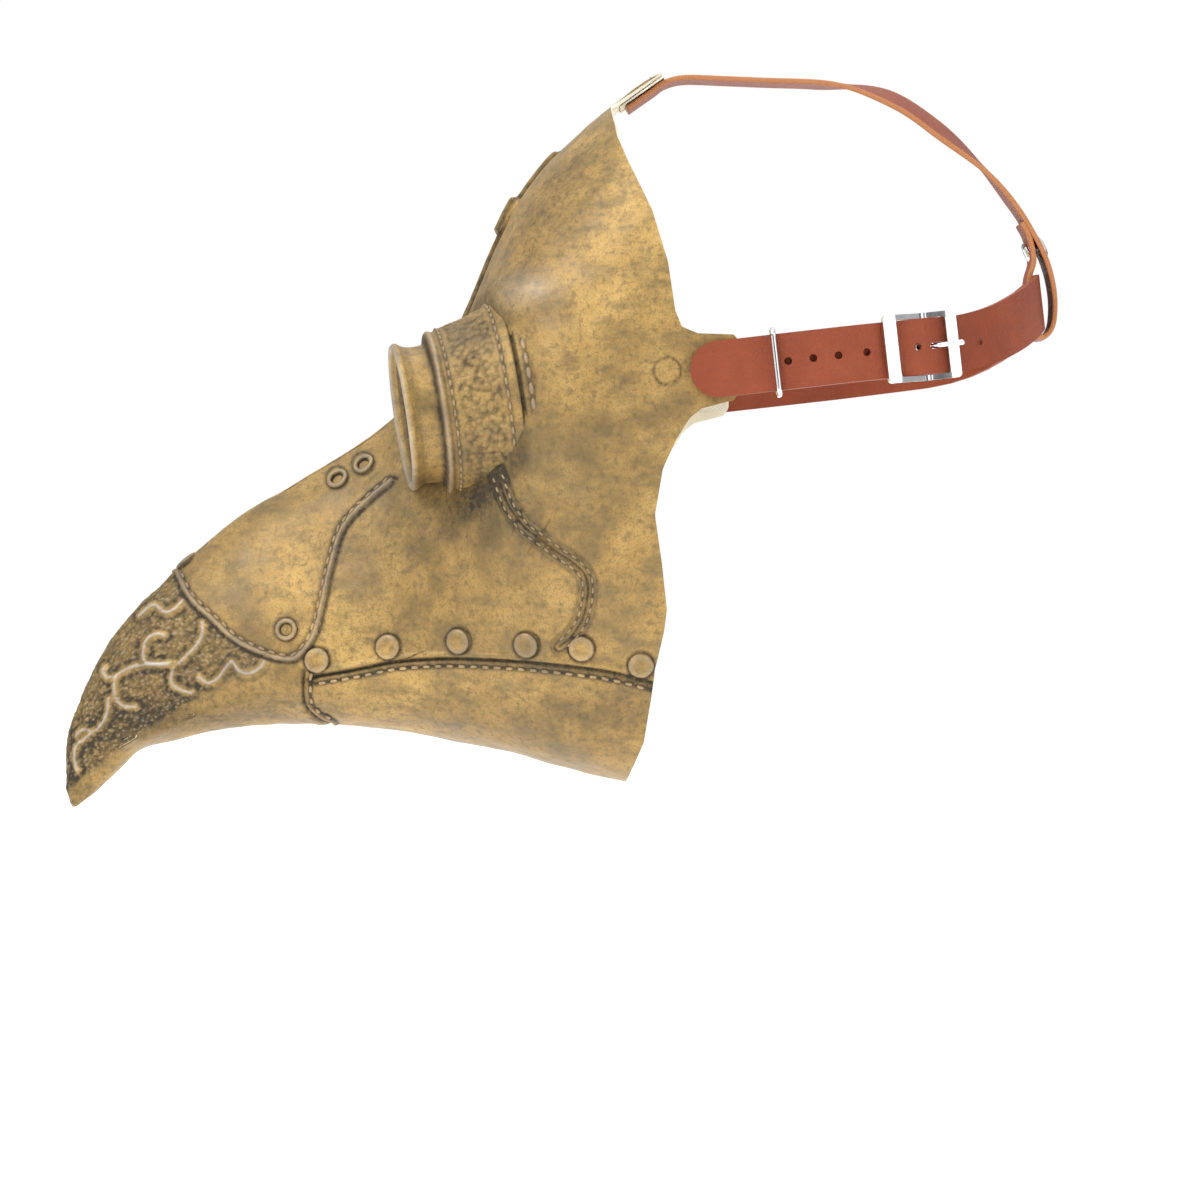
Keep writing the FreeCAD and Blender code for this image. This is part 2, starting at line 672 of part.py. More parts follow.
def fold_stitches():
    """Row of stitches across the folded end of the short strap."""
    x = dim("temple_face_x") + 2 * dim("short_strap_thickness") + 0.1
    start = Vector(x + dim("stitch_radius") + 0.02, dim("fold_stitches_y"),
                   -2 * dim("stitch_pitch"))
    group = Part.makeCompound(stitch_row(start, UP * 1, 5))
    group.Placement = harness_placement()
    return group


def forehead_stitches():
    """Two rows of stitches through the forehead tab."""
    along, up = tab_direction()
    tip = Vector(0, dim("top_tab_y"), dim("top_tab_z")) + up * (dim("stitch_radius") + 0.02)
    rows = []
    for reach in (4, 12):
        start = tip - along * reach - Vector(2 * dim("stitch_pitch"), 0, 0)
        rows += stitch_row(start, Vector(1, 0, 0), 5)
    return Part.makeCompound(rows)


# ---------------------------------------------------------------- the sub-parts

feature("mask_shell", mask_casting())

for side, word in ((1, "left"), (-1, "right")):
    lens = bind(doc.addObject("Part::Cylinder", "Lens"), Radius="Dimensions.lens_radius - 0.05",
                Height="Dimensions.lens_thickness")
    seat_depth = dim("ledge_depth") + 1.2
    lens.Placement = barrel_placement(side, seat_depth + dim("lens_thickness"))
    keep(lens, "lens_" + word)
    bead = bind(doc.addObject("Part::Cylinder", "Bead"), Radius="Dimensions.lens_radius",
                Height="Dimensions.glue_thickness")
    bead_hole = bind(doc.addObject("Part::Cylinder", "BeadHole"),
                     Radius="Dimensions.glue_inner_radius",
                     Height="Dimensions.glue_thickness")
    glue = doc.addObject("Part::Cut", "Glue")
    glue.Base, glue.Tool = bead, bead_hole
    glue.Placement = barrel_placement(side, seat_depth + dim("lens_thickness")
                                      + dim("glue_thickness"))
    keep(glue, "lens_glue_" + word)

feature("temple_gauze_left", temple_plate(1, dim("tab_thickness"), dim("gauze_thickness"), 1.5))
feature("temple_gauze_right", temple_plate(-1, dim("tab_thickness"), dim("gauze_thickness"),
                                           1.5))
feature("forehead_gauze", forehead_tab(dim("tab_thickness"), dim("gauze_thickness"),
                                       dim("top_tab_length") - 8))
feature("buckle_strap", buckle_strap())
feature("rear_strap", rear_strap())
feature("crown_strap", crown_strap())
feature("buckle_frame", buckle_frame(), buckle_place())

bar = bind(doc.addObject("Part::Cylinder", "Bar"), Radius="Dimensions.bar_radius",
           Height="Dimensions.frame_height - 0.4")
bar.Placement = buckle_place().multiply(
    Placement(Vector(dim("bar_offset"), dim("bar_level"), -dim("frame_height") / 2 + 0.2),
              Rotation()))
keep(bar, "buckle_bar")
feature("buckle_prong", buckle_prong(), buckle_place())


def keeper_body():
    """Rounded rectangle of wire round the layers of strap, swept along its middle line."""
    body = doc.addObject("PartDesign::Body", "Keeper")
    planes = {f.Role: f for f in body.Origin.OriginFeatures}
    low, high = dim("keeper_low"), dim("keeper_high")
    half, corner = dim("keeper_half_height"), dim("keeper_corner")
    path = body.newObject("Sketcher::SketchObject", "KeeperPath")
    path.AttachmentSupport = [(planes["XY_Plane"], "")]
    path.MapMode = "FlatFace"
    spots = [(low + corner, -half), (high - corner, -half), (high, -half + corner),
             (high, half - corner), (high - corner, half), (low + corner, half),
             (low, half - corner), (low, -half + corner)]
    middles = [(high - corner, -half + corner), (high - corner, half - corner),
               (low + corner, half - corner), (low + corner, -half + corner)]
    for k in range(4):
        a, b = spots[2 * k], spots[2 * k + 1]
        path.addGeometry(Part.LineSegment(Vector(a[0], a[1], 0), Vector(b[0], b[1], 0)), False)
        start = math.radians(-90 + 90 * k)
        circle = Part.Circle(Vector(middles[k][0], middles[k][1], 0), UP, corner)
        path.addGeometry(Part.ArcOfCircle(circle, start, start + math.pi / 2), False)
    ring = body.newObject("Sketcher::SketchObject", "KeeperSection")
    ring.AttachmentSupport = [(planes["YZ_Plane"], "")]
    ring.MapMode = "FlatFace"
    ring.AttachmentOffset = Placement(Vector(0, 0, (low + high) / 2), Rotation())
    ring.addGeometry(Part.Circle(Vector(-half, 0, 0), UP, dim("keeper_wire")), False)
    radius = ring.addConstraint(Sketcher.Constraint("Radius", 0, dim("keeper_wire")))
    ring.renameConstraint(radius, "wire")
    ring.setExpression("Constraints.wire", "Dimensions.keeper_wire")
    doc.recompute()
    pipe = body.newObject("PartDesign::AdditivePipe", "KeeperWire")
    pipe.Profile = ring
    pipe.Spine = (path, ["Edge%d" % n for n in range(1, 9)])
    pipe.Transition = 1
    body.Tip = pipe
    doc.recompute()
    return body


keeper = keeper_body()
place = Placement(Vector(dim("temple_face_x"), dim("keeper_at"), 0),
                  Rotation(Vector(1, 0, 0), 90))
keeper.Placement = harness_placement().multiply(place)
keep(keeper, "keeper_loop")

place, grip = rivet_place()
feature("loop_rivet_post", rivet_post(grip), place)
feature("loop_rivet_cap", rivet_dome(1),
        place.multiply(Placement(Vector(0, 0, grip), Rotation())))

feature("temple_stitches_left", temple_stitches(1, dim("short_strap_thickness")))
feature("temple_stitches_right", temple_stitches(-1, dim("strap_thickness") + 0.2))
feature("fold_stitches", fold_stitches())
feature("forehead_stitches", forehead_stitches())

doc.recompute()
failed = [o.Label for o in doc.Objects if "Invalid" in o.State or "Error" in o.State]
for part in sub_parts:
    if part.Shape.isNull() or not part.Shape.isValid():
        failed.append(part.Label)
if failed:
    raise RuntimeError("failed: " + ", ".join(failed))

os.makedirs("parts", exist_ok=True)
for part in sub_parts:
    part.Shape.exportStep("parts/%s.step" % part.Label)
    print(part.Label, round(part.Shape.Volume, 1), len(part.Shape.Solids))
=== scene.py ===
import functools
import math

import bpy
import numpy as np
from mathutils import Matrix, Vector, kdtree, noise


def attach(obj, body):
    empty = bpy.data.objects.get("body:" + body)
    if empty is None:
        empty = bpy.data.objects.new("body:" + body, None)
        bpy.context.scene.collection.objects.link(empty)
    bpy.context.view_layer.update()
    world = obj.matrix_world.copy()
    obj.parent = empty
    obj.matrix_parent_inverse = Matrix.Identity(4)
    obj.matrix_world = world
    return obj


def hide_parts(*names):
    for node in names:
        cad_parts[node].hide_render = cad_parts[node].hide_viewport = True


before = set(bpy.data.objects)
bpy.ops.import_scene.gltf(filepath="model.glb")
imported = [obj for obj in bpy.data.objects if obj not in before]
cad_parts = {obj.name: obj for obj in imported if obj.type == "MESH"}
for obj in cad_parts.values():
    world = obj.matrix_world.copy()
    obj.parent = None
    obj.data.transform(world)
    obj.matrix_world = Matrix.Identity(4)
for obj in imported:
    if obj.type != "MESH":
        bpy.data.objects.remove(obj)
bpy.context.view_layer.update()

MM = 0.001

# Plague doctor mask: its moulded and painted latex casting, and its leather harness.
# Shapes are worked out in millimetres in the CAD part's frame, with +X towards the
# wearer's left, -Y along the beak and +Z up, and become metres when a mesh is made.

# ------------------------------------------------------------------ mesh helpers


def smooth(edge_a, edge_b, value):
    """0 at edge_a, 1 at edge_b, with eased ends."""
    t = np.clip((value - edge_a) / (edge_b - edge_a), 0.0, 1.0)
    return t * t * (3 - 2 * t)


def bump(distance, width):
    """1 on a line, falling to 0 over its width."""
    return np.exp(-(distance / width) ** 2)


def noise_at(points, scale, seed=0.0):
    """Gradient noise, one value per point, at a scale in millimetres."""
    shift = Vector((seed * 17.3, seed * 5.1, seed * 9.7))
    return np.array([noise.noise(Vector(p) / scale + shift) for p in points])


def fractal_at(points, scale, octaves, seed=0.0):
    """Fractal noise, one value per point."""
    shift = Vector((seed * 17.3, seed * 5.1, seed * 9.7))
    return np.array([noise.fractal(Vector(p) / scale + shift, 0.8, 2.1, octaves) for p in points])


def cells_at(points, size):
    """Distance from each point to the nearest of scattered cell middles."""
    return np.array([noise.voronoi(Vector(p) / size)[0][0] for p in points])


def run_along(points):
    """Distance along a polyline at each of its points."""
    return np.concatenate(([0], np.cumsum(np.linalg.norm(np.diff(points, axis=0), axis=1))))


def spline(a, b, c, d, t):
    """Smooth curve between b and c, at a share t of the way."""
    return 0.5 * (2 * b + (c - a) * t + (2 * a - 5 * b + 4 * c - d) * t ** 2
                  + (3 * b - a - 3 * c + d) * t ** 3)


def add_object(name, data):
    """Puts an object in the scene."""
    obj = bpy.data.objects.new(name, data)
    bpy.context.scene.collection.objects.link(obj)
    return obj


class Builder:
    """Collects vertices in millimetres, faces, paint values and material numbers."""

    def __init__(self):
        self.verts, self.loops, self.sizes, self.slots = [], [], [], []
        self.paint = {"patina_and_shade": [], "wear_and_highlight": []}
        self.count = 0

    def add(self, verts, faces, slot=0, patina_and_shade=0.0, wear_and_highlight=0.0):
        """Adds a patch; its darkening (patina and painted shade) and brightening (wear and a
        painted highlight) are each one value or one per vertex.
        """
        verts = np.asarray(verts, dtype=float)
        faces = np.asarray(faces, dtype=np.int64)
        self.verts.append(verts)
        self.loops.append((faces + self.count).ravel())
        self.sizes.append(np.full(len(faces), faces.shape[1], dtype=np.int64))
        self.slots.append(np.full(len(faces), slot, dtype=np.int64))
        for name, value in (("patina_and_shade", patina_and_shade), ("wear_and_highlight", wear_and_highlight)):
            self.paint[name].append(np.broadcast_to(np.asarray(value, dtype=float),
                                                    (len(verts),)))
        self.count += len(verts)

    def build(self, name, materials):
        """Makes the object, in metres."""
        verts = np.concatenate(self.verts) * MM
        loops = np.concatenate(self.loops)
        sizes = np.concatenate(self.sizes)
        mesh = bpy.data.meshes.new(name)
        mesh.vertices.add(len(verts))
        mesh.vertices.foreach_set("co", verts.ravel())
        mesh.loops.add(len(loops))
        mesh.loops.foreach_set("vertex_index", loops)
        mesh.polygons.add(len(sizes))
        starts = np.concatenate(([0], np.cumsum(sizes)[:-1]))
        mesh.polygons.foreach_set("loop_start", starts)
        mesh.polygons.foreach_set("material_index", np.concatenate(self.slots))
        mesh.polygons.foreach_set("use_smooth", np.ones(len(sizes), dtype=bool))
        for label, values in self.paint.items():
            layer = mesh.attributes.new(label, "FLOAT", "POINT")
            layer.data.foreach_set("value", np.concatenate(values))
        mesh.update(calc_edges=True)
        mesh.validate()
        for material in materials:
            mesh.materials.append(material)
        return add_object(name, mesh)


def grid_faces(rows, columns, closed=False):
    """Quads of a grid of rows by columns; closed joins the last column to the first."""
    r, c = np.meshgrid(np.arange(rows - 1), np.arange(columns if closed else columns - 1),
                       indexing="ij")
    after = (c + 1) % columns
    quads = np.stack([r * columns + c, r * columns + after, (r + 1) * columns + after,
                      (r + 1) * columns + c], axis=-1)
    return quads.reshape(-1, 4)


# ------------------------------------------------------------------ materials

GOLD, LATEX = 0, 1
BLACK, WHITE = (0.0, 0.0, 0.0), (1.0, 1.0, 1.0)


def feed(socket, value):
    """Links a socket to another node's output, or sets it to a plain value."""
    if isinstance(value, bpy.types.NodeSocket):
        socket.id_data.links.new(value, socket)
    else:
        socket.default_value = value


def add_node(tree, kind, inputs=(), **settings):
    """New node with its settings and inputs."""
    item = tree.nodes.new(kind)
    for key, value in settings.items():
        setattr(item, key, value)
    for key, value in dict(inputs).items():
        feed(item.inputs[key], value)
    return item


def shader(name):
    """A new material, its surface, a function that adds nodes, and object coordinates."""
    material = bpy.data.materials.new(name)
    material.use_nodes = True
    tree = material.node_tree
    node = functools.partial(add_node, tree)
    place = node("ShaderNodeTexCoord").outputs["Object"]
    return material, tree.nodes["Principled BSDF"], node, place


def ramp(node, fac, stops):
    """Colour ramp through (position, colour) stops."""
    item = node("ShaderNodeValToRGB", {"Fac": fac})
    ladder = item.color_ramp
    while len(ladder.elements) < len(stops):
        ladder.elements.new(0.5)
    for element, (position, colour) in zip(ladder.elements, stops):
        element.position = position
        element.color = (*colour, 1.0)
    return item.outputs[0]


def blend_colour(node, fac, first, second):
    """Mixes two colours."""
    return node("ShaderNodeMix", {0: fac, 6: first, 7: second}, data_type="RGBA").outputs[2]


def maths(node, operation, first, second=0.0, clamp=False):
    """A maths node."""
    return node("ShaderNodeMath", {0: first, 1: second}, operation=operation,
                use_clamp=clamp).outputs[0]


def texture(node, position, scale, detail=6.0, rough=0.6):
    """Noise texture value."""
    return node("ShaderNodeTexNoise", {"Vector": position, "Scale": scale, "Detail": detail,
                                       "Roughness": rough}).outputs["Fac"]


def spread(node, value, low, high, start=0.3, end=0.7):
    """Maps a noise value from start and end to low and high."""
    return node("ShaderNodeMapRange", {"Value": value, "From Min": start, "From Max": end,
                                       "To Min": low, "To Max": high}).outputs[0]


def dress(surface, node, colour, rough, relief=None):
    """Sets colour, roughness and bump, which is a height, a strength and metres."""
    feed(surface.inputs["Base Color"], colour)
    feed(surface.inputs["Roughness"], rough)
    if relief:
        height, strength, distance = relief
        bumps = node("ShaderNodeBump", {"Height": height, "Strength": strength,
                                        "Distance": distance})
        feed(surface.inputs["Normal"], bumps.outputs[0])


def gold_material():
    """Sponged antique gold over dark patina: recesses stay dark, ridges are rubbed bright; the
    mesh's darkening also holds painted shade and its brightening a painted highlight.
    """
    material, surface, node, place = shader("antique_gold_latex")
    broad = texture(node, place, 14, 4, 0.55)
    blotch = texture(node, place, 55, 6, 0.65)
    fleck = texture(node, place, 420, 5, 0.7)
    grit = texture(node, place, 1500, 3, 0.6)
    streaks = node("ShaderNodeMapping", {"Vector": place, "Scale": (1.0, 0.6, 1.5)})
    brushed = texture(node, streaks.outputs[0], 120, 5, 0.65)
    patina_and_shade = node("ShaderNodeAttribute", attribute_name="patina_and_shade").outputs["Fac"]
    wear_and_highlight = node("ShaderNodeAttribute", attribute_name="wear_and_highlight").outputs["Fac"]
    base = ramp(node, broad, [(0.34, (0.170, 0.110, 0.038)), (0.50, (0.330, 0.200, 0.056)),
                              (0.66, (0.480, 0.300, 0.085))])
    sponge = ramp(node, blotch, [(0.36, (0.150, 0.100, 0.038)), (0.50, (0.340, 0.208, 0.058)),
                                 (0.68, (0.510, 0.340, 0.115))])
    colour = blend_colour(node, 0.5, base, sponge)
    # dark wash, specks and dust: pattern, where it starts and is full, strength, colour
    for pattern, start, full, strength, tone in (
            (brushed, 0.48, 0.66, 0.65, (0.14, 0.098, 0.038, 1)),
            (fleck, 0.50, 0.66, 0.60, (0.10, 0.072, 0.032, 1)),
            (grit, 0.50, 0.62, 0.45, (0.13, 0.095, 0.042, 1))):
        mask = ramp(node, pattern, [(start, BLACK), (full, WHITE)])
        colour = blend_colour(node, maths(node, "MULTIPLY", mask, strength), colour, tone)
    # dark patina read from the mesh, which also holds painted shade
    ragged = maths(node, "MULTIPLY", maths(node, "SUBTRACT", fleck, 0.5),
                   maths(node, "MULTIPLY", patina_and_shade, 1.6))
    darkening = maths(node, "ADD", patina_and_shade, ragged, True)
    colour = blend_colour(node, darkening, colour, (0.035, 0.026, 0.014, 1))
    # rubbed wear read from the mesh, which also holds a painted highlight on the brow
    rubbed_and_highlight = maths(node, "MULTIPLY", wear_and_highlight, maths(node, "ADD", blotch, 0.35), True)
    colour = blend_colour(node, rubbed_and_highlight, colour, (0.43, 0.42, 0.41, 1))
    surface.inputs["Metallic"].default_value = 0.35
    rough = maths(node, "ADD", spread(node, blotch, 0.40, 0.60),
                  maths(node, "MULTIPLY", darkening, 0.25), True)
    height = maths(node, "ADD", maths(node, "MULTIPLY", fleck, 0.5),
                   maths(node, "MULTIPLY", grit, 0.35))
    dress(surface, node, colour, rough, (height, 0.35, 0.0006))
    return material


def latex_material():
    """Bare cream latex on the inside and at the cut edge, with slush-cast runs."""
    material, surface, node, place = shader("bare_latex")
    cloud = texture(node, place, 30, 5, 0.6)
    fine = texture(node, place, 400, 4, 0.6)
    colour = ramp(node, cloud, [(0.3, (0.62, 0.55, 0.41)), (0.7, (0.80, 0.75, 0.63))])
    surface.inputs["Subsurface Weight"].default_value = 0.08
    dress(surface, node, colour, 0.62, (maths(node, "ADD", cloud, fine), 0.4, 0.001))
    return material


def leather_material(name, pale):
    """Grained reddish-brown strap leather; pale is how far a cut edge shows raw."""
    material, surface, node, place = shader(name)
    cells = node("ShaderNodeTexVoronoi", {"Vector": place, "Scale": 1500.0},
                 feature="DISTANCE_TO_EDGE").outputs["Distance"]
    cloud = texture(node, place, 45, 5, 0.6)
    fine = texture(node, place, 900, 4, 0.7)
    colour = ramp(node, cloud, [(0.30, (0.190, 0.034, 0.010)), (0.55, (0.235, 0.044, 0.013)),
                                (0.75, (0.285, 0.058, 0.018))])
    grain = ramp(node, cells, [(0.0, BLACK), (0.10, WHITE)])
    pores = maths(node, "MULTIPLY", maths(node, "SUBTRACT", 1.0, grain), 0.35)
    colour = blend_colour(node, pores, colour, (0.11, 0.03, 0.015, 1))
    edge = node("ShaderNodeAttribute", attribute_name="wear_and_highlight").outputs["Fac"]
    colour = blend_colour(node, maths(node, "ADD", edge, pale, True), colour,
                          (0.40, 0.16, 0.060, 1))
    surface.inputs["Specular IOR Level"].default_value = 0.30
    height = maths(node, "ADD", grain, maths(node, "MULTIPLY", fine, 0.5))
    dress(surface, node, colour, spread(node, fine, 0.42, 0.58), (height, 0.45, 0.0003))
    return material


def chrome_material():
    """Polished chrome with faint handling haze."""
    material, surface, node, place = shader("polished_chrome")
    haze = texture(node, place, 260, 4, 0.6)
    colour = ramp(node, haze, [(0.3, (0.70, 0.71, 0.73)), (0.7, (0.86, 0.87, 0.88))])
    surface.inputs["Metallic"].default_value = 1.0
    dress(surface, node, colour, spread(node, haze, 0.05, 0.17, end=0.8))
    return material


def thread_material():
    """Twisted brown sewing thread."""
    material, surface, node, place = shader("sewing_thread")
    twist = node("ShaderNodeTexWave", {"Vector": place, "Scale": 900.0, "Distortion": 2.0},
                 bands_direction="DIAGONAL").outputs["Fac"]
    colour = ramp(node, twist, [(0.2, (0.16, 0.06, 0.03)), (0.8, (0.33, 0.14, 0.07))])
    dress(surface, node, colour, 0.75, (twist, 0.6, 0.0002))
    return material


def gauze_material():
    """Open-weave gauze soaked in latex."""
    material, surface, node, place = shader("latex_gauze")
    weave = node("ShaderNodeTexChecker", {"Vector": place, "Scale": 1400.0}).outputs["Fac"]
    cloud = texture(node, place, 120, 4, 0.6)
    colour = ramp(node, cloud, [(0.3, (0.60, 0.54, 0.42)), (0.7, (0.82, 0.78, 0.68))])
    colour = blend_colour(node, maths(node, "MULTIPLY", weave, 0.35), colour,
                          (0.45, 0.38, 0.26, 1))
    dress(surface, node, colour, 0.85, (weave, 0.5, 0.0003))
    return material


def lens_material():
    """Smoke-tinted plastic lens with fine wiping marks."""
    material, surface, node, place = shader("smoked_lens")
    marks = texture(node, place, 160, 6, 0.7)
    colour = ramp(node, marks, [(0.3, (0.010, 0.011, 0.013)), (0.8, (0.022, 0.023, 0.026))])
    surface.inputs["Coat Weight"].default_value = 0.6
    dress(surface, node, colour, spread(node, marks, 0.05, 0.16, start=0.4, end=0.8))
    return material


def glue_material():
    """Milky bead of hot-melt glue."""
    material, surface, node, place = shader("hot_melt_glue")
    cloud = texture(node, place, 200, 4, 0.6)
    colour = ramp(node, cloud, [(0.3, (0.58, 0.54, 0.42)), (0.7, (0.74, 0.71, 0.60))])
    dress(surface, node, colour, 0.35, (cloud, 0.6, 0.0006))
    return material


def paper_material():
    """Plain white floor."""
    material, surface, node, place = shader("studio_paper")
    cloud = texture(node, place, 3, 2, 0.5)
    colour = ramp(node, cloud, [(0.0, (0.93, 0.93, 0.93)), (1.0, (0.95, 0.95, 0.95))])
    surface.inputs["Emission Color"].default_value = (1.0, 1.0, 1.0, 1.0)
    surface.inputs["Emission Strength"].default_value = 0.42
    dress(surface, node, colour, 0.9)
    return material


# ------------------------------------------------------------------ casting

# Cross-sections of the casting, as in the CAD part, in millimetres: top y, top z,
# bottom y, bottom z, half width, height of the widest point as a fraction from the
# top, roundness above it and roundness below it.
STATIONS = np.array([
    (-273.6, -155.5, -271.1, -157.0, 2.2, 0.60, 2.0, 2.0),
    (-275.0, -144.7, -264.2, -151.6, 5.2, 0.70, 1.9, 1.7),
    (-274.7, -133.9, -256.3, -143.6, 8.2, 0.78, 1.9, 1.5),
    (-270.7, -121.0, -248.8, -136.1, 11.5, 0.85, 1.8, 1.4),
    (-262.4, -103.0, -235.4, -133.2, 15.0, 0.86, 1.8, 1.35),
    (-250.2, -86.4, -222.5, -130.0, 19.0, 0.85, 1.75, 1.35),
    (-232.2, -69.8, -208.1, -128.2, 23.5, 0.83, 1.7, 1.4),
    (-210.6, -52.6, -191.5, -127.4, 28.0, 0.80, 1.65, 1.6),
    (-186.5, -38.2, -173.5, -128.2, 32.0, 0.78, 1.6, 1.8),
    (-162.7, -23.0, -154.1, -130.0, 37.0, 0.75, 1.6, 2.0),
    (-145.8, -6.5, -135.0, -133.6, 45.0, 0.68, 1.7, 2.3),
    (-132.1, 16.2, -115.2, -137.5, 56.0, 0.60, 1.9, 2.6),
    (-121.7, 40.7, -97.2, -142.6, 66.0, 0.50, 2.3, 2.8),
    (-110.2, 62.6, -82.8, -146.2, 71.5, 0.45, 2.4, 2.8),
    (-96.5, 78.8, -68.4, -148.7, 74.3, 0.42, 2.3, 2.7),
    (-78.5, 94.7, -50.4, -151.2, 75.4, 0.38, 2.3, 2.7),
    (-58.3, 107.3, -28.8, -153.0, 75.6, 0.38, 2.3, 2.7),
    (-20.0, 118.0, 4.0, -155.0, 75.6, 0.38, 2.3, 2.7),
])
# Rear edge from the side, top to chin, with the temple tab: y, z.
REAR_EDGE = np.array([
    (-80.0, 130.0), (-79.0, 92.0), (-76.8, 80.0), (-73.0, 70.2), (-64.8, 52.5), (-59.3, 34.0),
    (-56.8, 17.0), (-54.5, 11.5), (-49.0, 9.2), (-36.5, 8.8), (-34.6, 6.0), (-34.6, -11.0),
    (-37.0, -14.3), (-47.0, -16.2), (-51.8, -20.0), (-56.6, -27.6), (-61.1, -37.5),
    (-63.8, -53.4), (-61.3, -70.7), (-59.6, -86.3), (-60.6, -93.9), (-63.7, -107.1),
    (-65.0, -117.6), (-67.4, -132.6), (-73.5, -147.2), (-80.0, -165.0),
])
TOP_TAB_HALF = 11.0
TOP_TAB_END_Y = -61.0
TOP_TAB_LOWEST = 60.0
WALL = 1.7
# Station over the temples, the last one whose column is measured, and the stations
# between which the rear edge lies.
TEMPLE_STATION, LAST_STATION = 14.0, 15.4
REAR_FIRST, REAR_LAST = 12.5, 16.98
SIDE_SHARE = 0.45
FINE_SAMPLES = 4001
COARSE = 1
ROWS, COLUMNS = 460 // COARSE, 380 // COARSE


def station_values(u):
    """Cross-section data at fractional station numbers, by a smooth curve through them."""
    low = np.clip(np.floor(u).astype(int), 0, len(STATIONS) - 2)
    t = (u - low)[..., None]
    p1, p2 = STATIONS[low], STATIONS[low + 1]
    p0 = np.where((low > 0)[..., None], STATIONS[np.maximum(low - 1, 0)], 2 * p1 - p2)
    last = (low + 2 < len(STATIONS))[..., None]
    p3 = np.where(last, STATIONS[np.minimum(low + 2, len(STATIONS) - 1)], 2 * p2 - p1)
    return spline(p0, p1, p2, p3, t)


def casting_point(u, v):
    """Point of the left half of the casting: v 0 is the top line and 1 the bottom line."""
    data = station_values(u)
    top, low = data[..., 0:2], data[..., 2:4]
    half, widest = data[..., 4], data[..., 5]
    above, below = 2 / data[..., 6], 2 / data[..., 7]
    up = np.radians(np.clip(v * 2, 0, 1) * 90)
    down = np.radians(np.clip(v * 2 - 1, 0, 1) * 90)
    upper = v <= 0.5
    x = half * np.where(upper, np.sin(up) ** above, np.cos(down) ** below)
    share = np.where(upper, widest * (1 - np.cos(up) ** above),
                     widest + (1 - widest) * np.sin(down) ** below)
    yz = top + (low - top) * share[..., None]
    return np.stack([np.maximum(x, 0.0), yz[..., 0], yz[..., 1]], axis=-1)


def column_places(count):
    """Values of v that are evenly spaced along the section over the temples."""
    fine = np.linspace(0, 1, FINE_SAMPLES)
    points = casting_point(np.full_like(fine, TEMPLE_STATION), fine)
    run = run_along(points)
    return np.interp(np.linspace(0, run[-1], count), run, fine)


def rear_limit(z):
    """How far back the casting reaches at a height."""
    order = np.argsort(REAR_EDGE[:, 1])
    return np.interp(z, REAR_EDGE[order, 1], REAR_EDGE[order, 0])


def rear_station(v):
    """Station number at which each column meets the rear edge."""
    u = np.linspace(REAR_FIRST, REAR_LAST, 900)
    grid_u, grid_v = np.meshgrid(u, v)
    points = casting_point(grid_u, grid_v)
    limit = rear_limit(points[..., 2])
    tab = (points[..., 0] < TOP_TAB_HALF) & (points[..., 2] > TOP_TAB_LOWEST)
    limit = np.where(tab, TOP_TAB_END_Y, limit)
    beyond = points[..., 1] > limit
    first = np.argmax(beyond, axis=1)
    ends = u[first]
    # between two samples, to where the column really crosses the edge
    rows = np.arange(len(v))
    before = np.maximum(first - 1, 0)
    gap_a = points[rows, before, 1] - limit[rows, before]
    gap_b = points[rows, first, 1] - limit[rows, first]
    share = np.where(gap_b - gap_a > 1e-6, -gap_a / (gap_b - gap_a + 1e-12), 0.0)
    return u[before] + (ends - u[before]) * np.clip(share, 0, 1)


def row_places(count):
    """Shares of a column's length, evenly spaced along the side of the casting."""
    fine = np.linspace(0, LAST_STATION, FINE_SAMPLES)
    points = casting_point(fine, np.full_like(fine, SIDE_SHARE))
    run = run_along(points)
    return np.interp(np.linspace(0, run[-1], count), run, fine) / fine[-1]


# ------------------------------------------------------------------ relief

# Lines moulded in the casting, seen from the side: y, z in millimetres.
FIELD_EDGE = [(-196.0, -104.0), (-201.7, -106.5), (-217.4, -113.5), (-230.9, -121.5),
              (-245.9, -131.2), (-265.1, -145.5), (-272.0, -151.0)]
PANEL_EDGE = [(-235.4, -73.6), (-229.7, -82.8), (-220.2, -91.3), (-212.7, -97.7),
              (-203.2, -102.3), (-195.7, -104.4), (-189.7, -103.7), (-183.7, -96.3),
              (-180.5, -85.3), (-178.0, -73.2), (-174.8, -60.9), (-171.3, -54.8),
              (-163.9, -47.4), (-156.8, -41.4)]
CHIN_SEAM = [(-183.6, -110.0), (-168.3, -107.3), (-156.4, -104.9), (-144.8, -103.8),
             (-132.2, -103.5), (-114.3, -104.2), (-96.5, -105.6), (-78.6, -108.0),
             (-65.0, -111.5)]
CHIN_CROSS = [(-187.7, -107.9), (-187.9, -119.3), (-184.5, -124.6), (-179.6, -127.5)]
CHEEK_SEAM = [(-118.5, -38.9), (-115.1, -48.4), (-112.3, -53.3), (-108.5, -58.1),
              (-103.6, -61.6), (-97.7, -66.1), (-91.8, -70.0), (-88.4, -73.4), (-87.0, -77.2),
              (-87.3, -83.1), (-89.0, -89.7), (-92.9, -95.6), (-96.7, -98.8)]
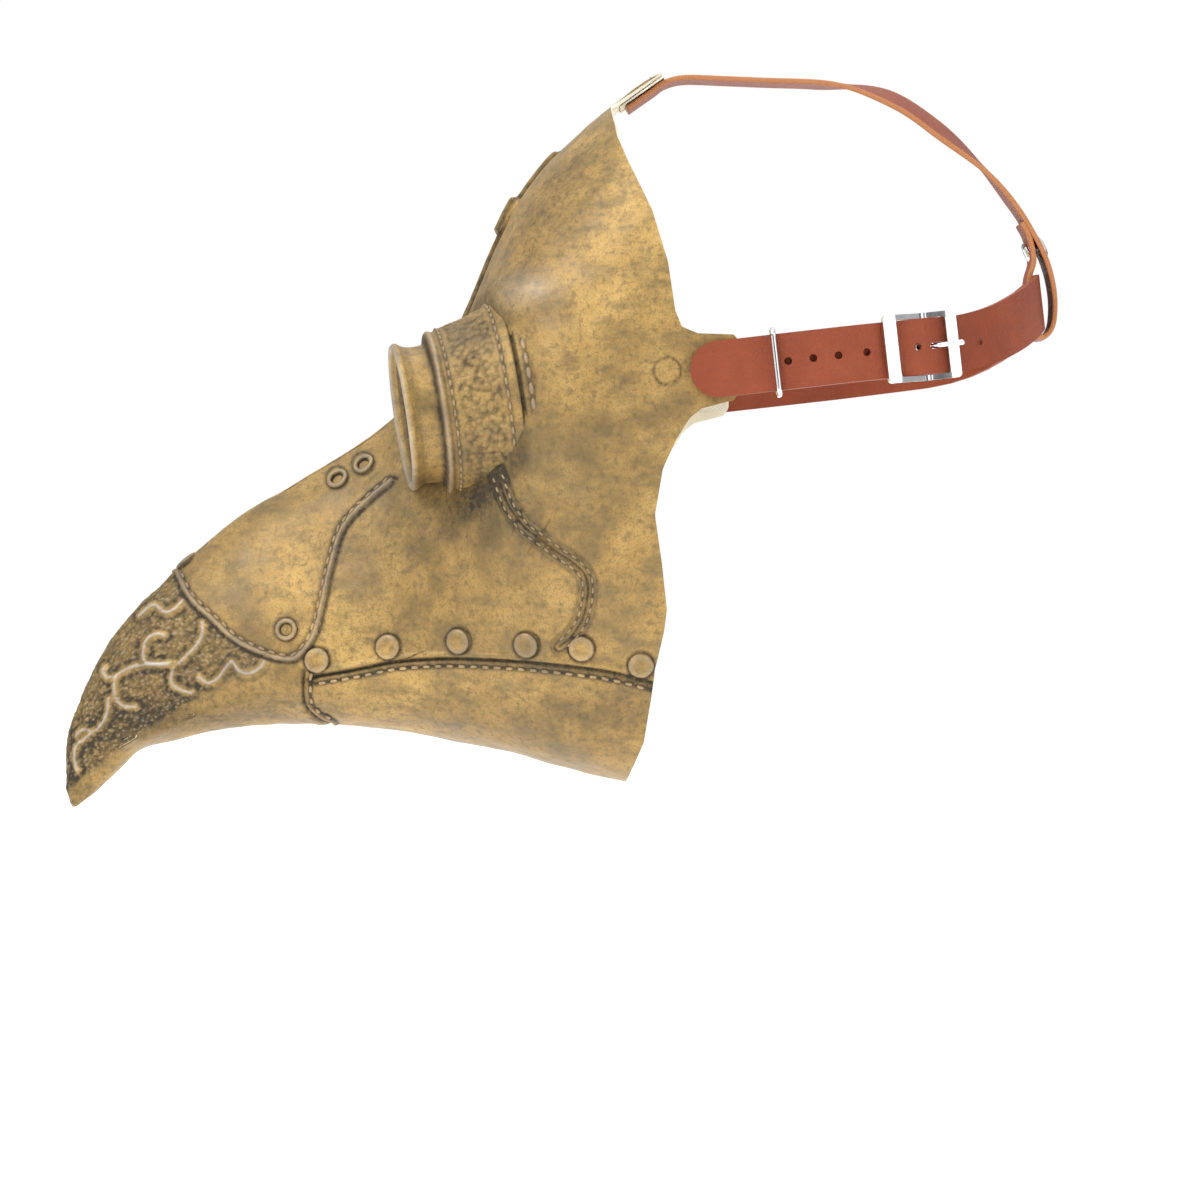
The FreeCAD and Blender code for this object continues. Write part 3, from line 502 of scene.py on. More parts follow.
SCROLLS = [
    [(-247.8, -88.5), (-242.5, -84.9), (-238.5, -87.4), (-235.0, -86.4), (-232.1, -83.2)],
    [(-224.3, -91.0), (-224.3, -95.3), (-226.4, -99.2), (-230.7, -103.5), (-234.6, -107.4),
     (-235.3, -112.4), (-231.8, -114.9), (-227.9, -115.9)],
    [(-234.8, -104.9), (-240.1, -105.6), (-245.1, -104.9), (-245.9, -100.6), (-244.4, -96.7),
     (-240.9, -94.9), (-238.4, -95.6)],
    [(-235.6, -106.0), (-244.5, -106.0), (-250.6, -107.1), (-254.9, -109.6),
     (-256.3, -112.8), (-256.3, -117.1), (-253.4, -120.6), (-248.4, -121.0)],
    [(-255.9, -110.3), (-259.1, -110.7), (-260.9, -108.9), (-260.5, -106.8)],
    [(-258.6, -117.9), (-259.3, -124.0), (-262.2, -128.6), (-266.8, -132.2),
     (-270.4, -135.1), (-271.1, -139.7), (-270.0, -144.0)],
    [(-270.5, -131.5), (-268.0, -129.4), (-265.1, -129.7)],
    [(-225.4, -110.2), (-222.2, -112.3), (-218.6, -110.9), (-215.8, -107.3),
     (-213.3, -104.8), (-210.5, -108.0), (-206.5, -108.8), (-203.0, -106.6),
     (-201.6, -104.5)],
]
STUDS = [(-183.0, -104.2), (-157.6, -99.4), (-132.5, -97.3), (-108.5, -98.5), (-89.2, -99.7),
         (-68.6, -105.5)]
EYELETS = [(-194.0, -93.3), (-176.6, -39.6), (-167.2, -34.4)]
STUD_RADIUS, EYELET_RADIUS = 4.3, 3.9
# Above and in front of the panel, to close its outline; in front of and below the scrolls.
PANEL_BEYOND = [(-140, 0), (-150, 30), (-260, 20), (-262, -60)]
FIELD_BEYOND = [(-300, -160), (-300, -60)]
PANEL_FOOT_Y = -196
# How far to each side of a line its relief reaches.
LINE_REACH = 8.0
TEMPLE_RING, TEMPLE_RING_RADIUS = (-59.6, -3.8), 4.5
BARREL_RIM = np.array([40.0, -153.2, -18.7])
BARREL_YAW, BARREL_PITCH = math.radians(7), math.radians(8.5)
BROW, BROW_REACH = (57.0, -105.0, 24.0), (17.0, 14.0, 9.0)
BARREL_AXIS = np.array([math.sin(BARREL_YAW) * math.cos(BARREL_PITCH),
                        -math.cos(BARREL_YAW) * math.cos(BARREL_PITCH),
                        -math.sin(BARREL_PITCH)])
THROAT = 32.5
# Rows of moulded stitches: line, offset to its left, dash length, width, pitch, height.
STITCH_ROWS = [
    (PANEL_EDGE, 2.3, 3.0, 1.1, 4.0, 0.60),
    (CHIN_SEAM, -2.5, 3.0, 1.2, 4.2, 0.75),
    (CHIN_CROSS, 2.7, 3.0, 1.2, 4.2, 0.75),
    (CHEEK_SEAM, 1.7, 2.4, 0.9, 3.5, 0.60),
    (CHEEK_SEAM, -1.7, 2.4, 0.9, 3.5, 0.60),
]


def curve_through(points, spacing=0.8):
    """Smooth evenly spaced points through a given line."""
    p = np.array(points, dtype=float)
    ends = np.vstack([2 * p[0] - p[1], p, 2 * p[-1] - p[-2]])
    out = []
    for i in range(1, len(ends) - 2):
        count = max(2, int(np.linalg.norm(ends[i + 1] - ends[i]) / spacing))
        for t in np.arange(count) / count:
            out.append(spline(*ends[i - 1:i + 3], t))
    out.append(ends[-2])
    return np.array(out)


def line_distance(yz, line):
    """Signed distance to a line (positive on its left) and share of its length."""
    best = np.full(len(yz), 1e9)
    sign = np.ones(len(yz))
    share = np.zeros(len(yz))
    low, high = line.min(axis=0) - LINE_REACH, line.max(axis=0) + LINE_REACH
    close = np.where(((yz > low) & (yz < high)).all(axis=1))[0]
    spots = yz[close]
    top, side, part = np.full(len(spots), 1e9), np.ones(len(spots)), np.zeros(len(spots))
    for i in range(len(line) - 1):
        a, b = line[i], line[i + 1]
        ab = b - a
        t = np.clip(((spots - a) @ ab) / (ab @ ab), 0, 1)
        gap = spots - a - t[:, None] * ab
        far = np.hypot(gap[:, 0], gap[:, 1])
        near = far < top
        top = np.where(near, far, top)
        cross = ab[0] * (spots[:, 1] - a[1]) - ab[1] * (spots[:, 0] - a[0])
        side = np.where(near, np.sign(cross), side)
        part = np.where(near, (i + t) / (len(line) - 1), part)
    best[close], sign[close], share[close] = top, side, part
    return best * sign, best, share


def inside_polygon(yz, polygon):
    """True for points inside a closed outline."""
    result = np.zeros(len(yz), dtype=bool)
    for (y1, z1), (y2, z2) in zip(polygon, np.roll(polygon, -1, axis=0)):
        crosses = (z1 > yz[:, 1]) != (z2 > yz[:, 1])
        at = (y2 - y1) * (yz[:, 1] - z1) / (z2 - z1 + 1e-12) + y1
        result ^= crosses & (yz[:, 0] < at)
    return result


def barrel_polar(points):
    """Distance from the left barrel's axis and depth below its rim."""
    offset = points - BARREL_RIM
    depth = -(offset @ BARREL_AXIS)
    across = offset + depth[:, None] * BARREL_AXIS
    return np.linalg.norm(across, axis=1), depth


# Moulded seams: line, whether both sides are alike, offset, width, height and patina.
SEAM_RELIEF = [
    (CHIN_SEAM, False, 0.0, 0.60, -1.0, 0.0),
    (CHIN_SEAM, False, 0.0, 0.65, 0.0, 1.0),
    (CHIN_SEAM, False, 1.5, 1.0, 0.9, 0.0),
    (CHIN_SEAM, False, -3.0, 2.0, 0.25, 0.0),
    (CHIN_SEAM, False, -1.2, 1.6, 0.0, 0.35),
    (CHIN_CROSS, False, 0.0, 0.6, -0.8, 0.9),
    (CHIN_CROSS, True, 1.6, 0.9, 0.5, 0.0),
    (CHEEK_SEAM, False, 0.0, 0.5, -0.9, 0.9),
    (CHEEK_SEAM, True, 3.2, 0.6, 0.0, 0.45),
]
CHEEK_BAND_HALF, CHEEK_BAND_HEIGHT = 3.2, 0.8
PANEL_STEP, PANEL_ROLL = 0.9, 0.45
PEBBLE_SIZE, PEBBLE_HEIGHT = 1.35, 0.55
SCROLL_HEIGHT, SCROLL_WIDTH = 1.15, 1.35
BELT_HALF, BELT_LOW, BELT_TOP, BELT_HEIGHT = 9.0, 12, 78, 1.5
KEEPER_HALF, KEEPER_LOW, KEEPER_TOP, KEEPER_HEIGHT = 10.8, 48, 61, 1.9
COLLAR_SWELL, BROW_SWELL = 2.4, 2.6


class Relief:
    """Height, darkening (dark patina and painted shade) and brightening (rubbed wear and a painted
    highlight), one value per point of the left half.
    """

    def __init__(self, points):
        self.points, self.yz = points, points[:, 1:3]
        self.height = np.zeros(len(points))
        self.patina_and_shade = np.zeros(len(points))
        self.wear_and_highlight = np.zeros(len(points))

    def panel(self):
        """Raised panel with a rolled edge over the beak; returns which points lie on it."""
        edge = curve_through(PANEL_EDGE)
        within = inside_polygon(self.yz, np.vstack([edge, PANEL_BEYOND]))
        _, far, _ = line_distance(self.yz, edge)
        signed = np.where(within, far, -far)
        close = far < LINE_REACH
        self.height += PANEL_STEP * np.where(close, smooth(-0.5, 0.5, signed), within)
        self.height += PANEL_ROLL * bump(signed - 1.0, 0.8) * close
        self.patina_and_shade += 0.9 * bump(signed + 0.5, 0.7)
        self.wear_and_highlight += 0.25 * bump(signed - 0.9, 0.6)
        return within

    def seams(self):
        """Grooves and ridges of the seams, and the troughs that the stitches lie in."""
        for line, alike, offset, width, height, darkening in SEAM_RELIEF:
            signed, far, _ = line_distance(self.yz, curve_through(line))
            profile = bump((far if alike else signed) - offset, width)
            self.height += height * profile
            self.patina_and_shade += darkening * profile
        _, far, _ = line_distance(self.yz, curve_through(CHEEK_SEAM))
        self.height += CHEEK_BAND_HEIGHT * smooth(CHEEK_BAND_HALF, CHEEK_BAND_HALF - 1, far)
        for line, offset, _, width, _, _ in STITCH_ROWS:
            signed, far, _ = line_distance(self.yz, curve_through(line))
            close = far < LINE_REACH - 2
            self.patina_and_shade += 0.80 * bump(signed - offset, 0.70 * width) * close
            self.height -= 0.25 * bump(signed - offset, 0.75 * width) * close

    def scrollwork(self, on_panel):
        """Embossed scrolls on the beak's tip, with a pebbled ground."""
        lower, yz = curve_through(FIELD_EDGE), self.yz
        edge = curve_through(PANEL_EDGE)
        field = np.vstack([edge[edge[:, 0] < PANEL_FOOT_Y], lower, FIELD_BEYOND])
        held = inside_polygon(yz, field) & ~on_panel
        _, from_edge, _ = line_distance(yz, lower)
        ground = held * np.where(from_edge < LINE_REACH, smooth(0.0, 2.5, from_edge), 1.0)
        near = np.where(ground > 0.01)[0]
        pebble = np.zeros(len(yz))
        pebble[near] = cells_at(self.points[near], PEBBLE_SIZE)
        self.height += ground * (0.4 - 0.8 * pebble) * PEBBLE_HEIGHT
        self.patina_and_shade += ground * (0.20 + 0.45 * smooth(0.25, 0.7, pebble))
        self.wear_and_highlight += ground * 0.30 * smooth(0.35, 0.1, pebble)
        roll = ~on_panel & (yz[:, 0] < PANEL_FOOT_Y - 2)
        self.height += 0.7 * roll * bump(from_edge - 2.0, 2.0)
        for scroll in SCROLLS:
            _, far, share = line_distance(yz, curve_through(scroll))
            taper = 0.55 + 0.45 * np.sin(np.clip(share, 0, 1) * math.pi)
            self.height += SCROLL_HEIGHT * taper * bump(far, SCROLL_WIDTH)
            self.patina_and_shade += 0.35 * bump(far - 2.4, 0.8) - 0.6 * bump(far, 1.5)
            self.wear_and_highlight += 0.70 * bump(far, 0.45) - 0.25 * bump(far - 1.6, 0.8)

    def ring(self, middle, radius, gap, width, darkening, depth=0.0):
        """Dark groove round a boss."""
        far = np.hypot(self.yz[:, 0] - middle[0], self.yz[:, 1] - middle[1])
        self.patina_and_shade += darkening * bump(far - radius - gap, width)
        self.height -= depth * bump(far - radius - gap - 0.1, width)
        return far

    def bosses(self):
        """Grooves round the studs and eyelets, and the low disc at the temple."""
        for place in STUDS:
            self.ring(place, STUD_RADIUS, 0.3, 0.6, 0.8, depth=0.3)
        for place in EYELETS:
            self.ring(place, EYELET_RADIUS, 0.2, 0.6, 0.8)
        far = self.ring(TEMPLE_RING, TEMPLE_RING_RADIUS, 0.2, 0.45, 0.8)
        self.height += 0.35 * smooth(TEMPLE_RING_RADIUS, TEMPLE_RING_RADIUS - 0.7, far)

    def belt(self):
        """Belt up the forehead with its keeper, with painted shadow along the belt's side and top
        edges.
        """
        x, y, z = self.points.T
        front = (y < -84) & (z > BELT_LOW)
        rising = smooth(BELT_LOW, BELT_LOW + 4, z)
        strip = smooth(BELT_HALF + 0.4, BELT_HALF - 0.6, x) * smooth(BELT_TOP, BELT_TOP - 1.5, z)
        self.height += BELT_HEIGHT * strip * rising * front
        # painted shadow along the belt's side and top edge
        side = bump(x - BELT_HALF - 0.6, 0.8) * rising * smooth(BELT_TOP + 1, BELT_TOP - 1, z)
        end = bump(z - BELT_TOP - 0.3, 0.8) * smooth(BELT_HALF + 1, BELT_HALF, x)
        self.patina_and_shade += (0.85 * side + 0.7 * end) * front
        held = smooth(KEEPER_LOW - 0.5, KEEPER_LOW + 1, z) * smooth(KEEPER_TOP, KEEPER_TOP - 1.5, z)
        self.height += (KEEPER_HEIGHT * held * front
                        * smooth(KEEPER_HALF + 0.4, KEEPER_HALF - 0.4, x))
        sides = bump(z - KEEPER_LOW + 0.8, 0.7) + bump(z - KEEPER_TOP - 0.4, 0.7)
        self.patina_and_shade += 0.8 * sides * smooth(KEEPER_HALF + 0.7, KEEPER_HALF - 0.3, x) * front

    def swellings(self):
        """The face swells into the eye collars and over the brow, with painted shade round the base
        of each collar and a painted highlight on the brow.
        """
        radius, depth = barrel_polar(self.points)
        rise = smooth(54, 37, radius) * smooth(34, 42, depth) * smooth(74, 50, depth)
        self.height += COLLAR_SWELL * rise * (self.points[:, 0] > 30)
        # painted shade on the face round the base of each collar
        self.patina_and_shade += (0.55 * smooth(44, 37, radius) * smooth(10, 20, depth)
                        * smooth(44, 38, depth))
        brow = np.linalg.norm((self.points - np.array(BROW)) / BROW_REACH, axis=1)
        self.height += BROW_SWELL * bump(brow, 0.9)
        # painted highlight on the brow's swelling
        self.wear_and_highlight += 0.30 * bump(brow, 0.7)


def relief(points):
    """Height, darkening (dark patina and painted shade) and brightening (rubbed wear and a painted
    highlight) of the casting's left half, per point.
    """
    cut = Relief(points)
    cut.scrollwork(cut.panel())
    cut.seams()
    cut.bosses()
    cut.belt()
    cut.swellings()
    return cut.height, cut.patina_and_shade, cut.wear_and_highlight


# Painted shade, as broad dark patches over the mask: middle, reach along each axis and darkness.
SHADES = [
    ((62, -100, 52), (26, 16, 22), 0.34), ((30, -150, -55), (22, 22, 30), 0.22),
    ((30, -120, -122), (45, 70, 10), 0.22), ((20, -215, -122), (20, 40, 8), 0.30),
    ((14, -265, -140), (16, 14, 18), 0.25), ((0, -272, -152), (12, 10, 9), 0.45),
    ((12, -232, -126), (16, 26, 7), 0.35), ((26, -180, -62), (10, 24, 10), 0.22),
    ((45, -128, -52), (22, 18, 10), 0.35), ((60, -72, -120), (26, 26, 10), 0.22),
    ((66, -78, -28), (14, 18, 24), 0.15), ((40, -100, 66), (20, 20, 14), 0.25),
    ((40, -150, -95), (30, 40, 5), 0.15), ((50, -112, -48), (24, 14, 14), 0.25),
    ((10, -120, 30), (16, 10, 22), 0.25),
]


def broad_shade(points):
    """Painted shade: broad darkening over the brow, below the seam, beside the nose, under the eyes
    and at the beak's tip.
    """
    shade = np.zeros(len(points))
    for middle, reach, darkness in SHADES:
        far = np.linalg.norm((points - np.array(middle)) / reach, axis=1)
        shade += darkness * bump(far, 1.0)
    return shade


def grid_normals(grid):
    """Outward unit normals of a grid of points (rows by columns by 3)."""
    along = np.gradient(grid, axis=0)
    across = np.gradient(grid, axis=1)
    normal = np.cross(along, across)
    length = np.linalg.norm(normal, axis=-1, keepdims=True)
    normal = normal / np.maximum(length, 1e-9)
    return normal


# Unevenness of the casting, and rows from the tip over which it and the wall grow.
LUMP_HEIGHT, LUMP_SIZE = 0.45, 26.0
RIPPLE_HEIGHT, RIPPLE_SIZE = 0.12, 5.0
TIP_ROWS, THIN_ROWS, THIN_SHARE = 6.0, 30.0, 0.15


def casting_grid():
    """Displaced left half: points, normals, darkening (patina and painted shade) and brightening
    (wear and a painted highlight) as rows by columns.
    """
    v = column_places(COLUMNS)
    ends = rear_station(v)
    u = row_places(ROWS)[:, None] * ends[None, :]
    grid = casting_point(u, np.broadcast_to(v, u.shape))
    normals = grid_normals(grid)
    normals[:, 0, 0] = 0
    normals[:, -1, 0] = 0
    if normals[ROWS // 2, COLUMNS // 2, 0] < 0:
        normals = -normals
    flat = grid.reshape(-1, 3)
    height, patina_and_shade, wear_and_highlight = (value.reshape(ROWS, COLUMNS) for value in relief(flat))
    lumps = LUMP_HEIGHT * fractal_at(flat, LUMP_SIZE, 3, 1.0).reshape(ROWS, COLUMNS)
    fine = RIPPLE_HEIGHT * noise_at(flat, RIPPLE_SIZE, 2.0).reshape(ROWS, COLUMNS)
    # the broad painted shade is added to the patina here
    patina_and_shade = patina_and_shade + broad_shade(flat).reshape(ROWS, COLUMNS)
    row = np.arange(ROWS)[:, None]
    tip_fade = np.clip(row / TIP_ROWS, 0, 1)
    wall = WALL * np.clip(row / THIN_ROWS, THIN_SHARE, 1)
    painted = grid + normals * ((height + lumps + fine) * tip_fade)[..., None]
    bare = grid + normals * (lumps * tip_fade - wall)[..., None]
    return painted, bare, normals, patina_and_shade, wear_and_highlight


def mirrored(points):
    """Mirror image across the mask's middle plane."""
    return points * np.array([-1.0, 1.0, 1.0])


EYE_REACH = 75
OUTER_OVERLAP, INNER_GAP = -0.9, 0.15


def open_eyes(points, faces, profile, margin):
    """Cuts a barrel's round hole on both sides: points drawn to its edge, and kept faces."""
    side = np.where(points[:, :1] < 0, -1.0, 1.0)
    left = points * np.hstack([side, np.ones((len(points), 2))])
    radius, depth = barrel_polar(left)
    line = np.array(profile)
    order = np.argsort(-line[:, 1])
    limit = np.interp(depth, -line[order, 1], line[order, 0]) + margin
    within = (radius < limit) & (depth > 3) & (depth < EYE_REACH)
    keep = ~within[faces].all(axis=1)
    edge = np.zeros(len(points), dtype=bool)
    edge[faces[keep].ravel()] = True
    edge &= within
    centre = BARREL_RIM - depth[:, None] * BARREL_AXIS
    pushed = centre + (left - centre) * (limit / np.maximum(radius, 1e-6))[:, None]
    left[edge] = pushed[edge]
    return left * np.hstack([side, np.ones((len(points), 2))]), keep


def add_casting(build):
    """Outer and inner skins, rear rim and tip of the casting, with the eye holes open."""
    grid, bare, normals, patina_and_shade, wear_and_highlight = casting_grid()
    full = np.concatenate([mirrored(grid[:, :0:-1]), grid[:, :-1]], axis=1)
    inner = np.concatenate([mirrored(bare[:, :0:-1]), bare[:, :-1]], axis=1).reshape(-1, 3)
    tone, shine = (np.clip(np.concatenate([value[:, :0:-1], value[:, :-1]], axis=1), 0, 1)
                   for value in (patina_and_shade, wear_and_highlight))
    rows, columns = full.shape[:2]
    faces = grid_faces(rows, columns, closed=True)
    outer, keep = open_eyes(full.reshape(-1, 3), faces, barrel_profile(), OUTER_OVERLAP)
    build.add(outer, faces[keep], GOLD, tone.ravel(), shine.ravel())
    inner, keep = open_eyes(inner, faces, inner_profile(), INNER_GAP)
    build.add(inner, faces[keep][:, ::-1], LATEX)
    rim = np.concatenate([full[-1], inner.reshape(rows, columns, 3)[-1]])
    build.add(rim, grid_faces(2, columns, closed=True)[:, ::-1], LATEX)
    ring = full[0]
    centre = ring.mean(axis=0) + np.array([0, -0.4, -1.0])
    cap = np.concatenate([ring, centre[None]])
    spokes = np.array([(k, (k + 1) % columns, columns) for k in range(columns)])
    # the tip cap is darkened to match the painted shade at the beak's tip
    build.add(cap, spokes[:, ::-1], GOLD, 0.3)
    return grid, normals


def barrel_profile():
    """Outline of an eye barrel from the lens ledge over the lip to the buried base."""
    return [(21.2, -4.6), (21.2, -3.9), (21.8, -3.2), (23.2, -2.0), (23.7, -0.9), (24.3, -0.2),
            (25.2, 0.0), (25.9, -0.5), (26.2, -1.3), (26.0, -2.2), (25.2, -3.2), (24.5, -4.6),
            (24.2, -6.5), (24.2, -9.0), (24.4, -11.2), (24.7, -12.0), (27.2, -12.2),
            (28.0, -12.5), (28.4, -13.2), (28.6, -14.5), (29.3, -18.0), (30.6, -23.0),
            (32.3, -29.0), (34.0, -33.5), (35.3, -37.0), (35.9, -38.6), (36.0, -39.2),
            (34.9, -39.7), (35.0, -40.3), (36.6, -40.9), (37.0, -42.0), (37.2, -45.5),
            (36.9, -47.0), (36.2, -48.0), (36.0, -56.0)]


def inner_profile():
    """Inside of an eye barrel, from the glue bead to the face."""
    return [(22.2, -7.0), (22.3, -11.0), (23.5, -13.0), (26.2, -15.0), (28.6, -23.0),
            (30.8, -31.0), (32.2, -37.0), (THROAT, -42.0), (THROAT + 0.5, -56.0)]


def resample(profile, spacing):
    """Evenly spaced points along a profile."""
    p = np.array(profile, dtype=float)
    run = run_along(p)
    at = np.linspace(0, run[-1], int(run[-1] / spacing))
    return np.stack([np.interp(at, run, p[:, 0]), np.interp(at, run, p[:, 1])], axis=1)


def barrel_frame(side):
    """Matrix columns of a barrel: across, up and along its axis, and its rim's middle."""
    axis = BARREL_AXIS * np.array([side, 1, 1])
    across = np.cross(axis, (0, 0, 1.0))
    across /= np.linalg.norm(across)
    return across, np.cross(across, axis), axis, BARREL_RIM * np.array([side, 1, 1])


def revolve(profile, side, segments):
    """Grid of points of a profile turned about a barrel's axis."""
    across, up, axis, rim = barrel_frame(side)
    angle = np.linspace(0, 2 * math.pi, segments, endpoint=False)
    ring = np.cos(angle)[:, None] * across + np.sin(angle)[:, None] * up
    return (rim + profile[:, None, 0:1] * ring[None] + profile[:, None, 1:2] * axis), ring


# Depths between which a collar is hammered, its dents, and the depth at which the face
# can begin to cover a barrel.
HAMMERED, DENT_SIZE, DENT_HEIGHT = (18.8, 33.6), 2.0, 0.6
FACE_DEPTH, LEDGE_ROWS = 14, 5
# Dark rings on a barrel: depth below the rim, darkness and width.
COLLAR_PATINA = [(11.9, 0.85, 0.9), (14.9, 0.45, 0.6), (4.6, 0.3, 1.2), (16.8, 0.65, 0.9),
                 (35.4, 0.65, 0.9), (40.0, 1.0, 0.7), (43.4, 0.65, 1.5)]


def add_barrel(build, side, skin):
    """Lip, waist and hammered collar of one eye barrel, and its bare inside."""
    segments = 360 // COARSE
    profile = resample(barrel_profile(), 0.5 * COARSE)
    grid, ring = revolve(profile, side, segments)
    depth = -profile[:, 1]
    canon = grid.reshape(-1, 3) * np.array([side, 1, 1])
    first, last = HAMMERED
    collar = smooth(first - 0.6, first + 0.6, depth) * smooth(last + 0.6, last - 0.6, depth)
    beaten = cells_at(canon, DENT_SIZE).reshape(len(profile), -1)
    lumps = noise_at(canon, 7.0, 4.0).reshape(len(profile), -1)
    height = DENT_HEIGHT * collar[:, None] * (0.5 - beaten) + 0.22 * lumps
    height *= (np.arange(len(profile)) > LEDGE_ROWS)[:, None]
    height += (0.5 * bump(depth - 13.4, 0.8) - 0.5 * bump(depth - 15.4, 0.7))[:, None]
    grid = (grid + ring[None] * height[..., None]).reshape(-1, 3)
    rings = sum(tone * bump(depth - at, width) for at, tone, width in COLLAR_PATINA)
    in_mouth = 0.5 * (profile[:, 0] < 22.6) * (depth < 5)
    patina_and_shade = ((rings + in_mouth)[:, None] + 0.22 * smooth(0.1, 0.7, lumps)
              + collar[:, None] * (0.10 + 0.5 * smooth(0.35, 0.8, beaten)))
    wear_and_highlight = np.repeat(0.45 * bump(depth - 0.2, 0.9) + 0.25 * bump(depth - 13.2, 0.7), segments)
    faces = grid_faces(len(profile), segments, closed=True)
    if side > 0:
        faces = faces[:, ::-1]
    faces = faces[~skin.buried(grid, depth.repeat(segments) > FACE_DEPTH)[faces].all(1)]
    build.add(grid, faces, GOLD, np.clip(patina_and_shade, 0, 1).ravel(), np.clip(wear_and_highlight, 0, 1))
    inside = resample(inner_profile(), 0.8)
    around = 160
    grid, _ = revolve(inside, side, around)
    faces = grid_faces(len(inside), around, closed=True)
    if side < 0:
        faces = faces[:, ::-1]
    deep = (-inside[:, 1]).repeat(around) > FACE_DEPTH
    faces = faces[~skin.buried(grid.reshape(-1, 3), deep)[faces].all(1)]
    build.add(grid.reshape(-1, 3), faces, LATEX)


class Skin:
    """Finds places on the left half of the casting from the side view."""

    def __init__(self, grid, normals):
        step = max(1, 2 // COARSE)
        self.points = grid[::step, ::step].reshape(-1, 3)
        self.normals = normals[::step, ::step].reshape(-1, 3)
        self.tree = kdtree.KDTree(len(self.points))
        for i, p in enumerate(self.points):
            self.tree.insert((0.0, p[1], p[2]), i)
        self.tree.balance()
        self.solid = kdtree.KDTree(len(self.points))
        for i, p in enumerate(self.points):
            self.solid.insert(p, i)
        self.solid.balance()

    def buried(self, points, tested):
        """True for tested points that lie inside the face's hollow."""
        result = np.zeros(len(points), dtype=bool)
        for i in np.where(tested)[0]:
            p = np.array([abs(points[i, 0]), points[i, 1], points[i, 2]])
            spot, index, _ = self.solid.find(p)
            result[i] = (p - np.array(spot)) @ self.normals[index] < -WALL - 0.3
        return result

    def at(self, y, z):
        """Point and normal of the casting at a place of the side view."""
        found = self.tree.find_n((0.0, y, z), 3)
        weights = np.array([1 / (f[2] + 0.05) for f in found])
        weights /= weights.sum()
        index = [f[1] for f in found]
        point = (self.points[index] * weights[:, None]).sum(axis=0)
        normal = (self.normals[index] * weights[:, None]).sum(axis=0)
        point[1], point[2] = y, z
        return point, normal / np.linalg.norm(normal)


CREST, CREST_SLOPE = np.array([0.0, -231.5, -69.0]), np.array([0.0, -0.64, 0.77])


def add_disc(build, point, normal, profile, patina_and_shade, wear_and_highlight, both=True, segments=48):
    """Round boss from a (radius, height) profile standing on the skin, mirrored to the other side
    when both is set.
    """
    normal = normal / np.linalg.norm(normal)
    first = np.cross(normal, (0.0, 0.0, 1.0))
    first /= np.linalg.norm(first)
    second = np.cross(normal, first)
    profile = np.array(profile, dtype=float)
    angle = np.linspace(0, 2 * math.pi, segments, endpoint=False)
    ring = np.cos(angle)[:, None] * first + np.sin(angle)[:, None] * second
    grid = point + profile[:, None, 0:1] * ring[None] + profile[:, None, 1:2] * normal
    faces = grid_faces(len(profile), segments, closed=True)
    tone, shine = np.repeat(patina_and_shade, segments), np.repeat(wear_and_highlight, segments)
    flat = grid.reshape(-1, 3)
    build.add(flat, faces, GOLD, tone, shine)
    if both:
        build.add(mirrored(flat), faces[:, ::-1], GOLD, tone, shine)


STUD_PROFILE = [(4.5, -1.0), (4.5, 0.3), (4.35, 0.75), (3.95, 1.08), (3.2, 1.3), (2.0, 1.45),
                (0.9, 1.52), (0.02, 1.54)]
STUD_TONE = [0.9, 0.6, 0.15, 0, 0, 0, 0, 0]
STUD_SHINE = [0, 0, 0.10, 0.2, 0.1, 0, 0, 0]
EYELET_TONE = [0.9, 0.6, 0.1, 0, 0.2, 0.9, 1, 1, 1]
EYELET_SHINE = [0, 0, 0.15, 0.25, 0.1, 0, 0, 0, 0]
EYELET_PROFILE = [(4.1, -1.0), (4.1, 0.4), (3.85, 0.95), (3.3, 1.3), (2.7, 1.2), (2.2, 0.7),
                  (1.85, -0.2), (1.7, -1.1), (0.02, -1.3)]


def add_bosses(build, skin):
    """Studs along the jaw and eyelets on the nose, on both sides."""
    for y, z in STUDS:
        point, normal = skin.at(y, z)
        add_disc(build, point, normal, STUD_PROFILE, STUD_TONE, STUD_SHINE)
    for y, z in EYELETS:
        point, normal = skin.at(y, z)
        add_disc(build, point, normal, EYELET_PROFILE, EYELET_TONE, EYELET_SHINE)
    # the moulded stud on the nose ridge, where the beak's tip piece begins
    add_disc(build, CREST, CREST_SLOPE, STUD_PROFILE, STUD_TONE, STUD_SHINE, both=False)


def stitch_mesh(middle, along, out, length, width, height):
    """Small rounded bar: grid of points and its faces."""
    rings, around = 7, 10
    side = np.cross(along, out)
    points = []
    for i in range(rings):
        t = -1 + 2 * i / (rings - 1)
        swell = math.sqrt(max(0.0, 1 - abs(t) ** 3)) * 0.98 + 0.02
        for k in range(around):
            turn = 2 * math.pi * k / around
            points.append(middle + along * (t * length / 2)
                          + side * (math.cos(turn) * width / 2 * swell)
                          + out * (math.sin(turn) * height * swell))
    return np.array(points), grid_faces(rings, around, closed=True)


# Space between the last stitch and the rear edge, and how far ahead a stitch is aimed.
REAR_MARGIN, STITCH_LOOK = 2.5, 0.6


